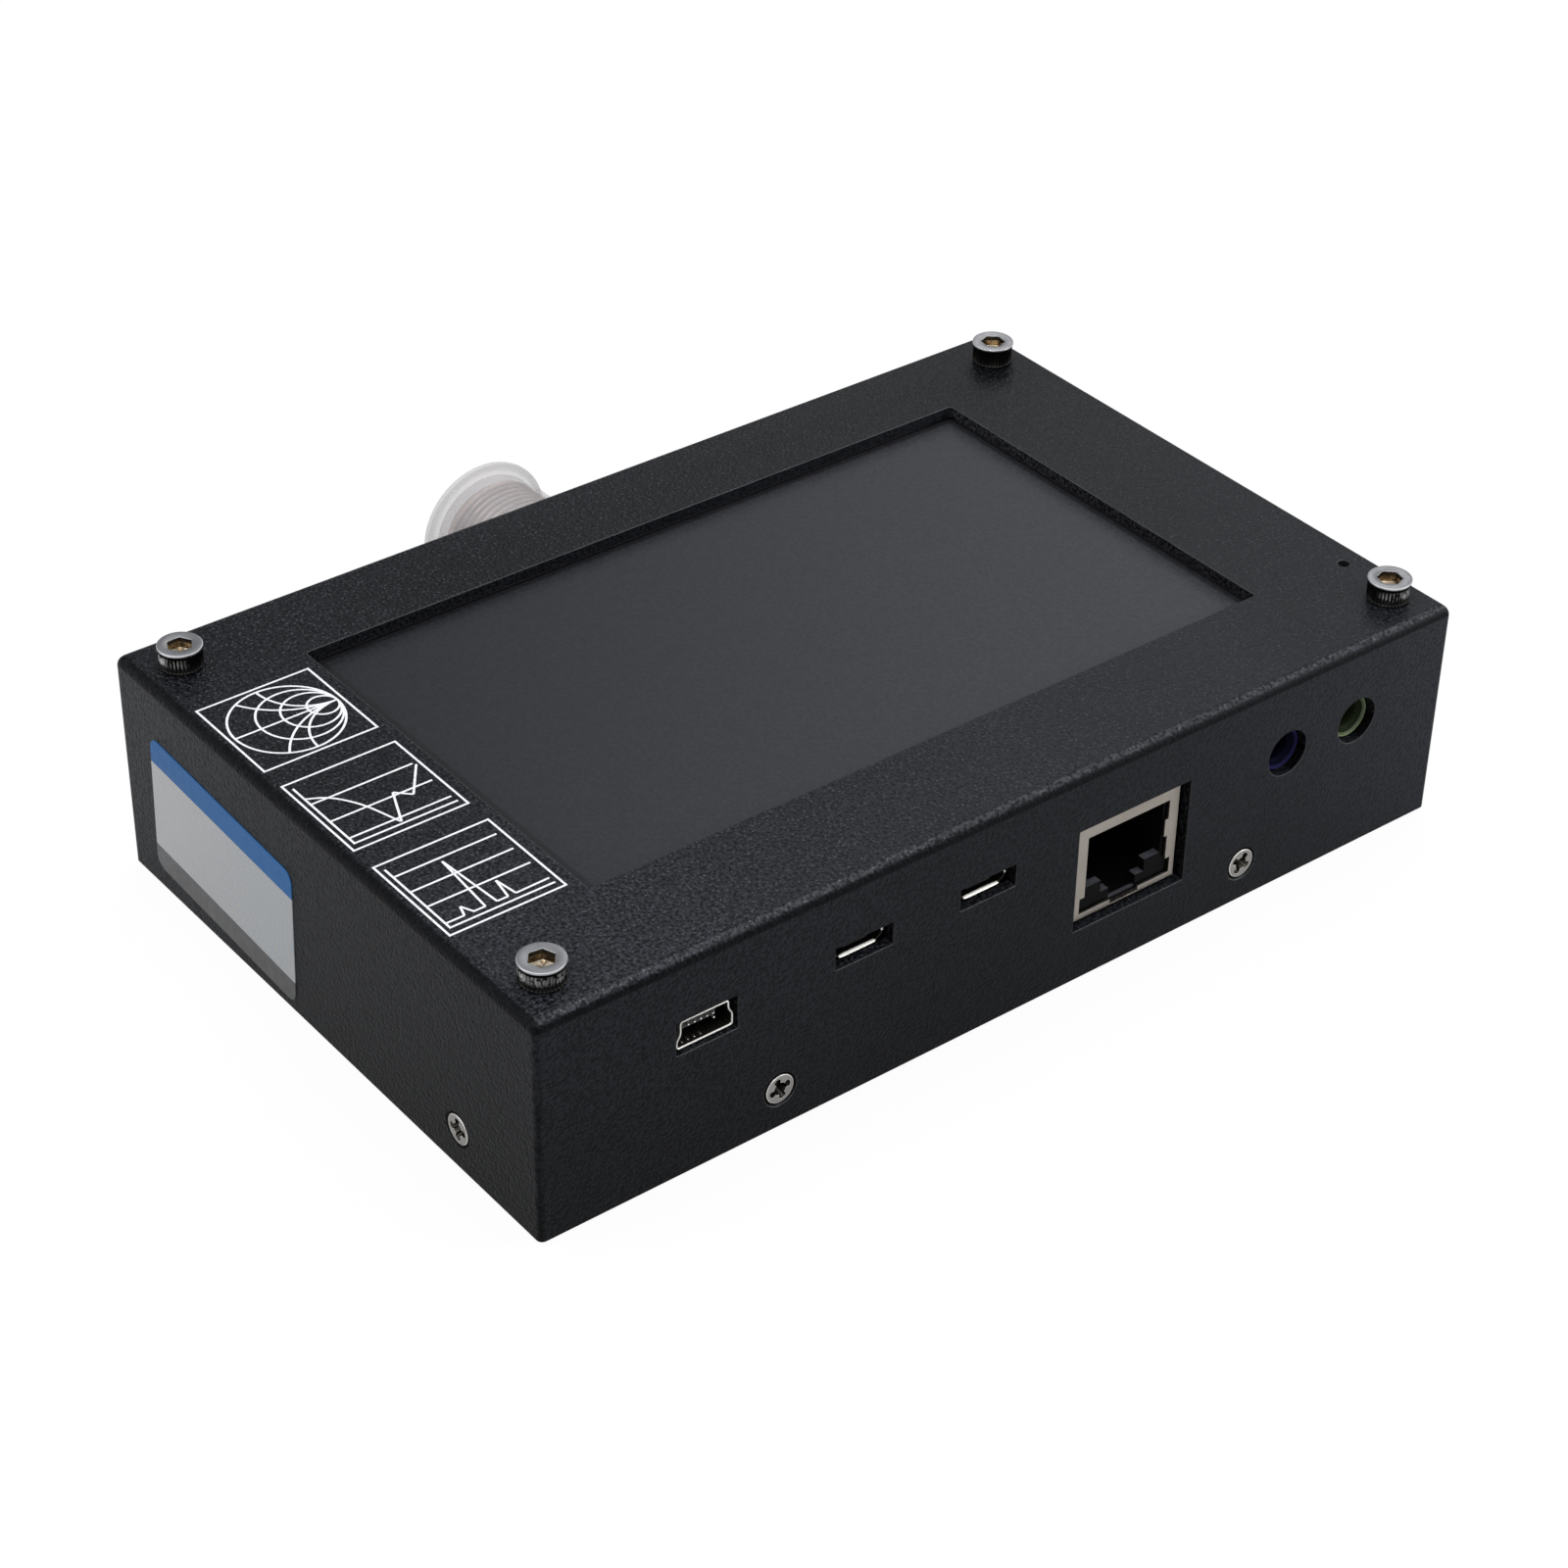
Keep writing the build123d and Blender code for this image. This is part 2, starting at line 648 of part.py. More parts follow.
# ---- audio jacks ----
def dish(x, y):
    # the barrel's mouth narrows from its rim to the bore
    mouth = Plane(origin=(x, y, JACK_Z), z_dir=(0, 1, 0))
    return loft([mouth * Circle(JACK_DISH_R), mouth.offset(JACK_DISH_DEPTH) * Circle(JACK_BORE_R)])


def jack_parts():
    parts = {}
    y0 = -Y1 + JACK_RECESS
    y1 = y0 + JACK_BARREL
    for name, x in zip(("line_in", "line_out"), JACK_XS):
        barrel = rod((x, y0, JACK_Z), (0, 1, 0), JACK_R, JACK_BARREL)
        body = slab(x, y1 + JACK_LEN / 2, JACK_W, JACK_LEN, BOARD_Z - JACK_H, BOARD_Z)
        bore = rod((x, y0 - OVER, JACK_Z), (0, 1, 0), JACK_BORE_R, JACK_BORE_DEPTH + OVER)
        parts[name + "_barrel"] = barrel - bore - dish(x, y0)
        parts[name + "_body"] = body - bore
    return parts


# ---- aerial socket ----
def n_body():
    out = (0, 1, 0)
    back = IN_Y - COAX_BEHIND
    body = rod((COAX_X, back, COAX_Z), out, COAX_THREAD_R, COAX_END - back)
    body += rod((COAX_X, Y1, COAX_Z), out, COAX_FLANGE_R, COAX_FLANGE_T)
    return body - rod((COAX_X, back - OVER, COAX_Z), out, COAX_BORE_R, COAX_END - back + 2 * OVER)


def n_core():
    # the insulator fills the bore up to the mating space, and the contact runs through it
    out = (0, 1, 0)
    tail_end = IN_Y - COAX_BEHIND - COAX_STUB
    seat = COAX_END - COAX_BORE_DEPTH
    pin = rod((COAX_X, tail_end, COAX_Z), out, COAX_CONTACT_R, COAX_END - COAX_CONTACT_SHY - tail_end)
    insulator = rod((COAX_X, tail_end, COAX_Z), out, COAX_BORE_R, seat - tail_end) - pin
    pin -= rod((COAX_X, seat, COAX_Z), out, COAX_CONTACT_BORE_R, COAX_BORE_DEPTH)
    pin += rod((COAX_X, tail_end - COAX_TAIL, COAX_Z), out, COAX_TAIL_R, COAX_TAIL)
    return insulator, pin


def n_fixing():
    out = (0, 1, 0)
    washer_y = IN_Y - COAX_WASHER_T
    nut_y = washer_y - COAX_NUT_T
    hole = rod((COAX_X, nut_y - OVER, COAX_Z), out, COAX_THREAD_R, COAX_NUT_T + COAX_WASHER_T + 2 * OVER)
    washer = rod((COAX_X, washer_y, COAX_Z), out, COAX_WASHER_R, COAX_WASHER_T)
    nut = hexagon_bar((COAX_X, nut_y, COAX_Z), out, COAX_NUT_AF, COAX_NUT_T)
    return washer - hole, nut - hole


def dust_cap():
    out = (0, 1, 0)
    y0 = Y1 + DUST_START
    bore_r = COAX_THREAD_R + DUST_SLACK
    bottom = COAX_END + DUST_END_GAP
    end = bottom + DUST_END_T
    cap = rod((COAX_X, y0, COAX_Z), out, bore_r + DUST_WALL, end - y0)
    cap += rod((COAX_X, end - DUST_RIM_T, COAX_Z), out, DUST_RIM_R, DUST_RIM_T)
    cap = fillet(cap.edges().group_by(Axis.Y)[-1], DUST_EDGE_R)
    return cap - rod((COAX_X, y0 - OVER, COAX_Z), out, bore_r, bottom - y0 + OVER)


def n_socket_parts():
    insulator, contact = n_core()
    washer, nut = n_fixing()
    parts = {"n_body": n_body(), "n_insulator": insulator, "n_contact": contact}
    parts.update({"n_washer": washer, "n_nut": nut, "dust_cap": dust_cap()})
    return parts


# ---- radio board ----
def strip_centres():
    # two strips along each long edge, parted in the middle for the aerial lead
    step = (STRIP_GAP + STRIP_LONG) / 2
    rise = RF_D / 2 - STRIP_EDGE
    return [(RF_X + sx * step, RF_Y + sy * rise) for sy in (-1, 1) for sx in (-1, 1)]


def pin_spots(centre):
    x, y = centre
    return [(x + (i - (PIN_COUNT - 1) / 2) * PITCH, y) for i in range(PIN_COUNT)]


def header_socket(centre):
    x, y = centre
    z0 = BOARD_Z - SOCKET_H
    strip = slab(x, y, STRIP_LONG, STRIP_W, z0, BOARD_Z)
    return strip - [slab(px, py, PIN_W, PIN_W, z0 - OVER, z0 + PIN_DEPTH) for px, py in pin_spots(centre)]


def header_parts():
    centres = strip_centres()
    z = RF_TOP + PLUG_H
    pins = [slab(px, py, PIN_W, PIN_W, z, z + PIN_DEPTH) for c in centres for px, py in pin_spots(c)]
    return {
        "header_sockets": group(header_socket(c) for c in centres),
        "header_plugs": group(slab(x, y, STRIP_LONG, STRIP_W, RF_TOP, z) for x, y in centres),
        "header_pins": group(pins),
    }


def rf_parts():
    can_x = RF_X + RF_W / 2 - CAN_W / 2 - CAN_EDGE
    can = slab(can_x, RF_Y, CAN_W, CAN_D, RF_TOP, RF_TOP + CAN_H)
    can -= slab(can_x, RF_Y, CAN_W - 2 * CAN_T, CAN_D - 2 * CAN_T, RF_TOP - OVER, RF_TOP + CAN_H - CAN_T)
    return {
        "rf_board": slab(RF_X, RF_Y, RF_W, RF_D, RF_TOP - RF_T, RF_TOP),
        "rf_shield_can": can,
        "synth_chip": slab(SYNTH_X, RF_Y, SYNTH_W, SYNTH_W, RF_TOP, RF_TOP + SYNTH_H),
    }


# ---- power ----
def battery_parts():
    cell = slab(CELL_X, CELL_Y, CELL_W, CELL_D, CELL_Z, CELL_Z + CELL_H)
    tape = slab(CELL_X, CELL_Y, CELL_W - TAPE_INSET, CELL_D - TAPE_INSET, SHEET, CELL_Z)
    return {"battery": fillet(cell.edges().filter_by(Axis.X), CELL_R), "battery_tape": tape}


def charger_parts():
    x = IN_X - CHARGE_EDGE - CHARGE_W / 2
    pad_w = CHARGE_W - 2 * CHARGE_PAD_INSET
    pad_d = CHARGE_D - 2 * CHARGE_PAD_INSET
    mouth = Plane(origin=(IN_X + PORT_GAP, CHARGE_Y, PORT_Z), x_dir=(0, -1, 0), z_dir=(1, 0, 0))
    shell, insert = micro_socket(mouth)
    return {
        "charger_board": slab(x, CHARGE_Y, CHARGE_W, CHARGE_D, PORT_Z - CHARGE_T, PORT_Z),
        "charger_pad": slab(x, CHARGE_Y, pad_w, pad_d, SHEET, PORT_Z - CHARGE_T),
        "charger_port_shell": shell,
        "charger_port_insert": insert,
        "charging_led": rod((LED_X, LED_Y, ROOF - LED_H), (0, 0, 1), LED_R, LED_H),
    }


def battery_lead(y):
    # from the end of the cell up and over the edge of the charger
    edge = IN_X - CHARGE_EDGE - CHARGE_W
    low = CELL_Z + CELL_H / 2
    high = PORT_Z + LEAD_RISE
    landing = edge + LEAD_INSET
    start = CELL_X + CELL_W / 2
    points = [(start, y, low), (edge - LEAD_STEP, y, low), (edge - LEAD_STEP / 3, y, high),
              (landing, y, high), (landing, y, PORT_Z)]
    return lead(points, LEAD_R)


def switch_lead(side):
    x = SWITCH_X + side * BLADE_DX / 2
    y0 = IN_Y - SWITCH_DEPTH - BLADE_LEN
    far_x = x + SWITCH_LEAD_SIDE
    y1 = CHARGE_Y + CHARGE_D / 2 - SWITCH_LEAD_INSET
    return lead([(x, y0, SWITCH_Z), (x, y0 - SWITCH_LEAD_OUT, SWITCH_Z), (far_x, y1, SWITCH_Z),
                 (far_x, y1, PORT_Z)], LEAD_R)


def led_lead(side):
    x = LED_X + side * THIN_LEAD_DX
    z = BOARD_Z - THIN_LEAD_DROP + (1 - side) * THIN_LEAD_STEP
    y = CHARGE_Y - CHARGE_D / 2 + THIN_LEAD_INSET - side * THIN_LEAD_DX
    return lead([(x, LED_Y, ROOF - LED_H), (x, LED_Y, z), (x, y, z), (x, y, PORT_Z)], THIN_LEAD_R)


def aerial_lead():
    y0 = IN_Y - COAX_BEHIND - COAX_STUB - COAX_TAIL
    y1 = y0 - AERIAL_LEAD_OUT
    return lead([(COAX_X, y0, COAX_Z), (COAX_X, y1, COAX_Z), (COAX_X, y1, RF_TOP)], LEAD_R)


def wiring():
    return {
        "battery_lead_red": battery_lead(CHARGE_Y - LEAD_SIDE),
        "battery_lead_black": battery_lead(CHARGE_Y + LEAD_SIDE),
        "switch_leads": group(switch_lead(side) for side in (-1, 1)),
        "led_leads": group(led_lead(side) for side in (-1, 1)),
        "aerial_lead": aerial_lead(),
    }


# ---- rocker switch ----
def pivot_point():
    return (SWITCH_X, Y1 - ROCKER_DROP, SWITCH_Z)


def pivot_pin(r, slack):
    # a trunnion along Z at each end of the rocker
    x, y, z = pivot_point()
    half = ROCKER_H / 2 + TRUNNION_LEN + slack
    return rod((x, y, z - half), (0, 0, 1), r, 2 * half)


def switch_housing():
    top = Y1 + BEZEL_T
    body = box(SWITCH_X - SWITCH_W / 2, SWITCH_X + SWITCH_W / 2, IN_Y - SWITCH_DEPTH, Y1,
               SWITCH_Z - SWITCH_H / 2, SWITCH_Z + SWITCH_H / 2)
    body += slab(SWITCH_X, Y1 + BEZEL_T / 2, SWITCH_W + 2 * BEZEL_LAP, BEZEL_T,
                 SWITCH_Z - SWITCH_H / 2 - BEZEL_LAP, SWITCH_Z + SWITCH_H / 2 + BEZEL_LAP)
    body -= box(SWITCH_X - WELL_W / 2, SWITCH_X + WELL_W / 2, top - WELL_DEPTH, top + OVER,
                SWITCH_Z - WELL_H / 2, SWITCH_Z + WELL_H / 2)
    return body - pivot_pin(TRUNNION_R + TRUNNION_SLACK, TRUNNION_SLACK)


def switch_rocker():
    # a round-ended bar with a shallow V on its face, pressed at its left end
    far = 2 * ROCKER_R
    wing = ROCKER_PEAK + 2 * ROCKER_RISE
    face = Polygon((-far, -ROCKER_BACK), (far, -ROCKER_BACK), (far, wing), (0, ROCKER_PEAK), (-far, wing),
                   align=None)
    section = Circle(ROCKER_R) & face
    bar = extrude(Plane(origin=pivot_point()) * Rot(0, 0, ROCKER_TILT) * section, ROCKER_H / 2, both=True)
    return bar + pivot_pin(TRUNNION_R, 0.0)


def switch_blades():
    y1 = IN_Y - SWITCH_DEPTH
    z0 = SWITCH_Z - BLADE_W / 2
    xs = (SWITCH_X - BLADE_DX / 2, SWITCH_X + BLADE_DX / 2)
    return group(slab(x, y1 - BLADE_LEN / 2, BLADE_T, BLADE_LEN, z0, z0 + BLADE_W) for x in xs)


# ---- label ----
def label():
    plane = Plane(origin=(-X1, Y1 - LABEL_FROM_BACK, LABEL_Z), x_dir=(0, -1, 0), z_dir=(-1, 0, 0))
    sheet = plane * Rot(0, 0, -LABEL_TURN) * RectangleRounded(LABEL_W, LABEL_H, LABEL_R)
    return extrude(sheet, LABEL_T)


def build():
    nodes = {
        "top_cover": top_cover(),
        "bottom_plate": bottom_plate(),
        "clinch_nuts": group(clinch_nut(spot, way) for spot, way in side_spots()),
        "side_screws": group(side_screw(spot, way) for spot, way in side_spots()),
        "pillars": group(pillar(x, y, ROOF, PILLAR_AF) for x, y in pillar_spots()),
        "cap_screws": group(cap_screw(x, y) for x, y in pillar_spots()),
        "board_posts": group(pillar(x, y, BOARD_Z, POST_AF) for x, y in post_spots()),
        "board_screws": group(board_screw(x, y) for x, y in post_spots()),
        "main_board": main_board(),
        "switch_housing": switch_housing(),
        "switch_rocker": switch_rocker(),
        "switch_blades": switch_blades(),
        "label": label(),
    }
    makers = (screen_stack, board_chips, rj45_parts, mini_usb_parts, micro_usb_parts, jack_parts,
              n_socket_parts, header_parts, rf_parts, battery_parts, charger_parts, wiring)
    for maker in makers:
        nodes.update(maker())
    return nodes


os.makedirs("parts", exist_ok=True)
for node_name, shape in build().items():
    export_step(shape, "parts/" + node_name + ".step")
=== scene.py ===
import json
import math

import bpy
from mathutils import Matrix, Vector


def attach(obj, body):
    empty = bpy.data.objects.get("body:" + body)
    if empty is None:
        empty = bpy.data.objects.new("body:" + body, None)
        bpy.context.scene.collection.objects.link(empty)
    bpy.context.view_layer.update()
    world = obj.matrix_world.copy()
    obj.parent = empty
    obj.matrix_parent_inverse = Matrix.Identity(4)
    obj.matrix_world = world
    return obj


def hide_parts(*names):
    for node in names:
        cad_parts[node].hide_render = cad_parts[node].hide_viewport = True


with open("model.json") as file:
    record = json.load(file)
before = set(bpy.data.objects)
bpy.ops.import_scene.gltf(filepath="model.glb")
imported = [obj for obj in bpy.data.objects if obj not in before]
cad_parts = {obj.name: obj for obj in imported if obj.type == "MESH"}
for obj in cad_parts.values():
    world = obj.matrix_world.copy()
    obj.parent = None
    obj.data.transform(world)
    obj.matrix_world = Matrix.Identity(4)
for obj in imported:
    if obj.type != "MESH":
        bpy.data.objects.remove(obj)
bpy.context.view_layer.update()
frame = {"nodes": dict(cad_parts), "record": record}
nodes = frame["nodes"]
scene = bpy.context.scene
MM = 0.001

# ---- sizes shared with the solid model, in millimetres ----
X1 = 69.0                       # the right wall's face; the left one is at -X1
Y1 = 44.25                      # the back wall's face; the front one is at -Y1
TOP = 30.5
SCREEN = (0.2, 1.4)             # the middle of the screen
WINDOW = (101.2, 58.8)
PILLARS = [(sx * 63.7, y) for sx in (-1, 1) for y in (-38.15, 37.35)]
SIDE_Z = 5.4                    # the cross screws' height, and their places along the walls
SIDE_X = 35.9
SIDE_Y = 28.2
LABEL = (32.0, 19.8)
BOARD_Z = 21.5                  # the main board's underside, which carries the front sockets
MINI_X = -46.3
MICRO_XS = (-24.2, -5.9)
JACK_XS = (42.0, 53.8)
JACK_DROP = 2.1
COAX = (-3.2, 15.25)            # the aerial socket's axis: x and z
COAX_FLANGE = (10.0, 2.5)       # its flange: radius and thickness
COAX_BORE = (4.3, 9.0)          # its bore: radius and depth
COAX_THREAD_R = 7.9
COAX_END = 61.5
CAP_START = 48.45
CAP_END = 63.65

# ---------------------------------------------------------------- materials
BLACK = (0.0, 0.0, 0.0)


class Shader:
    """A node material with a Principled shader and short ways to add nodes."""

    def __init__(self, name):
        self.mat = bpy.data.materials.new(name)
        self.mat.use_nodes = True
        self.tree = self.mat.node_tree
        self.bsdf = self.tree.nodes["Principled BSDF"]
        self.coords = self.node("ShaderNodeTexCoord").outputs["Object"]

    def node(self, kind, inputs=None, **settings):
        n = self.tree.nodes.new(kind)
        for key, value in settings.items():
            setattr(n, key, value)
        for key, value in (inputs or {}).items():
            self.plug(n, key, value)
        return n

    def plug(self, n, key, value):
        if isinstance(value, bpy.types.NodeSocket):
            self.tree.links.new(value, n.inputs[key])
        else:
            n.inputs[key].default_value = value

    def put(self, **values):
        """Values or sockets for the shader's own inputs."""
        for key, value in values.items():
            self.plug(self.bsdf, key.replace("_", " "), value)

    def split(self, vector):
        """The three parts of a vector."""
        return tuple(self.node("ShaderNodeSeparateXYZ", {0: vector}).outputs)

    def place(self):
        """Where the point is on the object, in metres."""
        return self.split(self.coords)

    def normal(self):
        return self.node("ShaderNodeNewGeometry").outputs["Normal"]

    def facing(self):
        """The three parts of the surface's own direction."""
        return self.split(self.normal())

    def dot(self, a, b):
        return self.node("ShaderNodeVectorMath", {0: a, 1: b}, operation="DOT_PRODUCT").outputs["Value"]

    def stretched(self, scale):
        return self.node("ShaderNodeMapping", {"Vector": self.coords, "Scale": scale}).outputs[0]

    def noise(self, scale, detail=2.0, rough=0.5, at=None):
        inputs = {"Vector": at or self.coords, "Scale": scale, "Detail": detail, "Roughness": rough}
        return self.node("ShaderNodeTexNoise", inputs).outputs["Fac"]

    def cells(self, scale):
        """The distance from the middle of the nearest cell."""
        return self.node("ShaderNodeTexVoronoi", {"Vector": self.coords, "Scale": scale}).outputs["Distance"]

    def math(self, operation, a, b=0.0):
        return self.node("ShaderNodeMath", {0: a, 1: b}, operation=operation).outputs[0]

    def product(self, *factors):
        total = factors[0]
        for factor in factors[1:]:
            total = self.math("MULTIPLY", total, factor)
        return total

    def spread(self, value, low, high, to_low=0.0, to_high=1.0):
        """A value's run from low to high as one from to_low to to_high, level beyond both ends."""
        inputs = {"Value": value, 1: low, 2: high, 3: to_low, 4: to_high}
        return self.node("ShaderNodeMapRange", inputs).outputs[0]

    def vary(self, noise, to_low=0.0, to_high=1.0):
        """The same, from the range that a noise mostly keeps to."""
        return self.spread(noise, 0.3, 0.7, to_low, to_high)

    def mix(self, factor, a, b, clamp=True):
        """Colour a at 0, colour b at 1."""
        n = self.node("ShaderNodeMix", {0: factor}, data_type="RGBA", clamp_factor=clamp)
        for key, colour in ((6, a), (7, b)):
            self.plug(n, key, colour if isinstance(colour, bpy.types.NodeSocket) else rgba(colour))
        return n.outputs[2]

    def scaled(self, colour, factor):
        """A colour times a factor, which may pass 1."""
        return self.mix(factor, BLACK, colour, clamp=False)

    def bump(self, height, strength, distance, normal=None):
        """A bumpy normal; the distance is in millimetres."""
        inputs = {"Height": height, "Strength": strength, "Distance": distance * MM}
        if normal is not None:
            inputs["Normal"] = normal
        return self.node("ShaderNodeBump", inputs).outputs[0]

    def rounded(self, radius):
        """The normal with every edge eased by this radius in millimetres."""
        return self.node("ShaderNodeBevel", {"Radius": radius * MM}, samples=4).outputs[0]

    def edges(self, radius):
        """1 on edges and corners, 0 on flat faces."""
        return self.spread(self.dot(self.rounded(radius), self.normal()), 0.998, 0.94)


def rgba(colour):
    return tuple(colour) + (1.0,)


def painted_fold_light(s):
    """The painted highlight on the shoulder of the front fold, and the painted shade in the turns below it
    and along the left fold.
    """
    x, y, up = s.facing()
    front = s.spread(y, -0.12, -0.35)
    left = s.spread(x, -0.12, -0.35)
    off_wall = s.spread(up, 0.02, 0.12)
    shoulder = s.product(front, s.spread(up, 0.62, 0.78), s.spread(up, 0.995, 0.97))
    foot = s.product(front, off_wall, s.spread(up, 0.68, 0.5))
    turn = s.product(left, off_wall, s.spread(up, 0.985, 0.9))
    return shoulder, s.math("MAXIMUM", foot, turn)


def painted_rim_light(s, radius):
    """The sheet's cut edges: a painted highlight where they turn up or forwards, painted shade elsewhere."""
    turned = s.dot(s.rounded(radius), (-0.15, -0.6, 0.785))
    edge = s.edges(radius)
    return s.product(edge, s.spread(turned, 0.35, 0.8)), s.product(edge, s.spread(turned, 0.3, 0.1))


# The coat's painted light and shade: slow changes of brightness over each face, lighter where more light
# falls.
# A row is a face and the ramps that are multiplied on it. A ramp is an axis, where it starts and ends in
# millimetres, and its values there.
COAT_PAINTED_LIGHT = (
    ("top", ("y", -40, 35, 0.06, -0.32)),
    ("top", ("x", 35, 55, 0.0, -0.17)),
    ("top", ("x", 52, 66, -0.07, 0.03)),
    ("top", ("x", -35, -55, 0.0, 0.42), ("y", 0, -30, 0.0, 1.0)),
    ("top", ("x", -44, -52, 0.0, 1.0), ("y", 5, 28, -0.09, 0.06)),
    ("top", ("x", -45, -30, 0.0, -0.13), ("y", 25, 32, 0.0, 1.0), ("y", 41, 37, 0.0, 1.0)),
    ("front", ("x", 0, 66, -0.20, 0.38)),
    ("front", ("x", 40, 68, 0.0, 0.26)),
    ("front", ("z", 3, 24, -0.27, 0.05)),
    ("left", ("z", 0, 8, -0.12, 0.0)),
    ("left", ("z", 3, 25, -0.36, 0.14)),
)


def coat_painted_shading(s, faces):
    """1 plus the painted light and shade; on the left wall the painted light along y is a curve, lighter
    towards the back.
    """
    at = dict(zip("xyz", s.place()))
    curve = s.math("POWER", s.spread(at["y"], -40 * MM, 45 * MM), 1.7)
    painted_light_along_left = s.math("ADD", s.product(curve, 1.25), -0.27)
    tone = s.math("ADD", s.product(faces["left"], painted_light_along_left), 1.0)
    for face, *ramps in COAT_PAINTED_LIGHT:
        values = [s.spread(at[axis], start * MM, end * MM, *change) for axis, start, end, *change in ramps]
        tone = s.math("ADD", s.product(faces[face], *values), tone)
    return tone


def coat_painted_highlights_and_shade(s, colour, fine, contrast, up):
    """Painted light over the coat: a highlight on the front fold, glints, shade in the turns, and highlight
    and shade on the cut edges, each laid over the colour.
    """
    worn, dark = painted_fold_light(s)
    # The lighter band along the front fold is a painted highlight, laid on with the grain; the dark turns are
    # painted shade.
    painted_shoulder_highlight = s.product(worn, s.spread(fine, 0.35, 0.65, 0.15, 0.75))
    # Pale points on the grain, most on faces that look up and on the front fold: painted glints.
    painted_glints = s.product(s.spread(s.cells(2500), 0.34, 0.12), s.spread(s.noise(2300), 0.44, 0.60))
    painted_glint_share = s.math("ADD", s.spread(up, 0.1, 0.75, 0.12, 0.6), s.product(worn, 0.8))
    lit, unlit = painted_rim_light(s, 0.2)
    # The lit edges, broken up by noise: a painted highlight.
    painted_rim_highlight = s.product(lit, s.spread(s.noise(420, 3.0), 0.2, 0.6, 0.5, 1.0))
    # In order: the fold's painted highlight, painted glints, painted shade in the turns, the cut edges'
    # painted highlight, and their painted shade.
    layers = ((painted_shoulder_highlight, (0.075, 0.077, 0.085)), (s.product(painted_glints, contrast, painted_glint_share), (0.15, 0.15, 0.16)),
              (s.product(dark, 0.85), (0.001, 0.001, 0.0012)), (painted_rim_highlight, (0.15, 0.15, 0.155)),
              (unlit, (0.001, 0.001, 0.0011)))
    for share, over in layers:
        colour = s.mix(share, colour, over)
    return colour


def powder_coat(name, base, rough, grain):
    """Fine-textured powder coat: pimpled grain, faint blotches, slow painted light and shade over its faces,
    and painted highlights and shade where the sheet turns and at its cut edges.
    """
    s = Shader(name)
    x, y, up = s.facing()
    faces = {"top": s.spread(up, 0.4, 0.8), "left": s.spread(x, -0.4, -0.8), "front": s.spread(y, -0.4, -0.8)}
    # The grain's colour and bumps are stronger towards the left end, on faces that look up and on the left
    # wall: partly real grain, partly painted light where the light brings it out.
    near = s.product(s.spread(s.place()[0], -55 * MM, 30 * MM, 1.0, 0.6), s.spread(up, 0.1, 0.75, 0.75, 1.0))
    contrast = s.math("MAXIMUM", near, faces["left"])
    fine = s.noise(2300, 1.5)
    coarse_share = s.math("ADD", s.spread(up, 0.1, 0.75, 0.08, 0.25), s.product(faces["left"], 0.25))
    height = s.math("ADD", s.product(fine, 0.9), s.product(s.noise(1100), coarse_share))
    tips = s.math("ADD", s.product(s.spread(fine, 0.36, 0.64, -0.9, 1.2), contrast), 1.08)
    blotch = s.vary(s.noise(45, 3.0), 0.92, 1.1)
    # The left wall's coat is tinted warmer: painted light, for the warmer light that falls on that side.
    painted_warm_left_colour = s.mix(faces["left"], base, (base[0] * 1.03, base[1], base[2] * 0.90))
    colour = s.scaled(painted_warm_left_colour, s.product(tips, coat_painted_shading(s, faces), blotch))
    normal = s.bump(s.product(height, contrast), grain, 0.24, s.rounded(0.14))
    s.put(Base_Color=coat_painted_highlights_and_shade(s, colour, fine, contrast, up), Normal=normal)
    s.put(Roughness=s.vary(fine, rough - 0.1, rough + 0.1))
    s.put(Specular_IOR_Level=0.08, Specular_Tint=(0.88, 0.93, 1.0, 1.0))
    return s.mat


def metal(name, base, dark, rough, scale=(900, 900, 900), grain=0.08, edge=0.1, shine=0.5, patches=160):
    """Machined or rolled metal: drawn streaks, stained patches and painted highlights on its edges; edge is
    in millimetres.
    """
    s = Shader(name)
    streak = s.noise(1.0, 3.0, 0.6, at=s.stretched(scale))
    bright = [min(1.0, c * (1 + shine)) for c in base]
    colour = s.mix(s.spread(s.noise(patches, 3.0), 0.35, 0.7), base, dark)
    # Edges lighter by shine: a painted highlight.
    colour = s.mix(s.product(s.edges(edge), shine), colour, bright)
    s.put(Base_Color=colour, Metallic=1.0, Roughness=s.spread(streak, 0.25, 0.75, rough - 0.07, rough + 0.1))
    s.put(Normal=s.bump(streak, grain, 0.04, s.rounded(edge)))
    return s.mat


def knurled():
    """Knurling with a painted dark reflection of the case round it, and painted glints on the ridges near its
    top, on the sides that face the lights.
    """
    s = Shader("knurled")
    at = s.place()
    x, y = s.facing()[:2]
    left = s.product(s.spread(x, -0.55, -0.9), s.spread(at[0], 10 * MM, -10 * MM))
    front = s.product(s.spread(y, -0.6, -0.92), s.spread(at[1], 10 * MM, -10 * MM))
    near_top = s.spread(at[2], (TOP + 0.9) * MM, (TOP + 1.4) * MM)
    lit = s.product(s.math("MAXIMUM", left, front), near_top, s.spread(s.noise(1500), 0.38, 0.52))
    colour = s.mix(s.noise(900), (0.012, 0.012, 0.012), (0.05, 0.048, 0.045))
    s.put(Base_Color=s.mix(lit, colour, (0.85, 0.84, 0.82)), Metallic=1.0, Roughness=0.35)
    s.put(Normal=s.bump(s.noise(2500), 0.1, 0.04))
    return s.mat


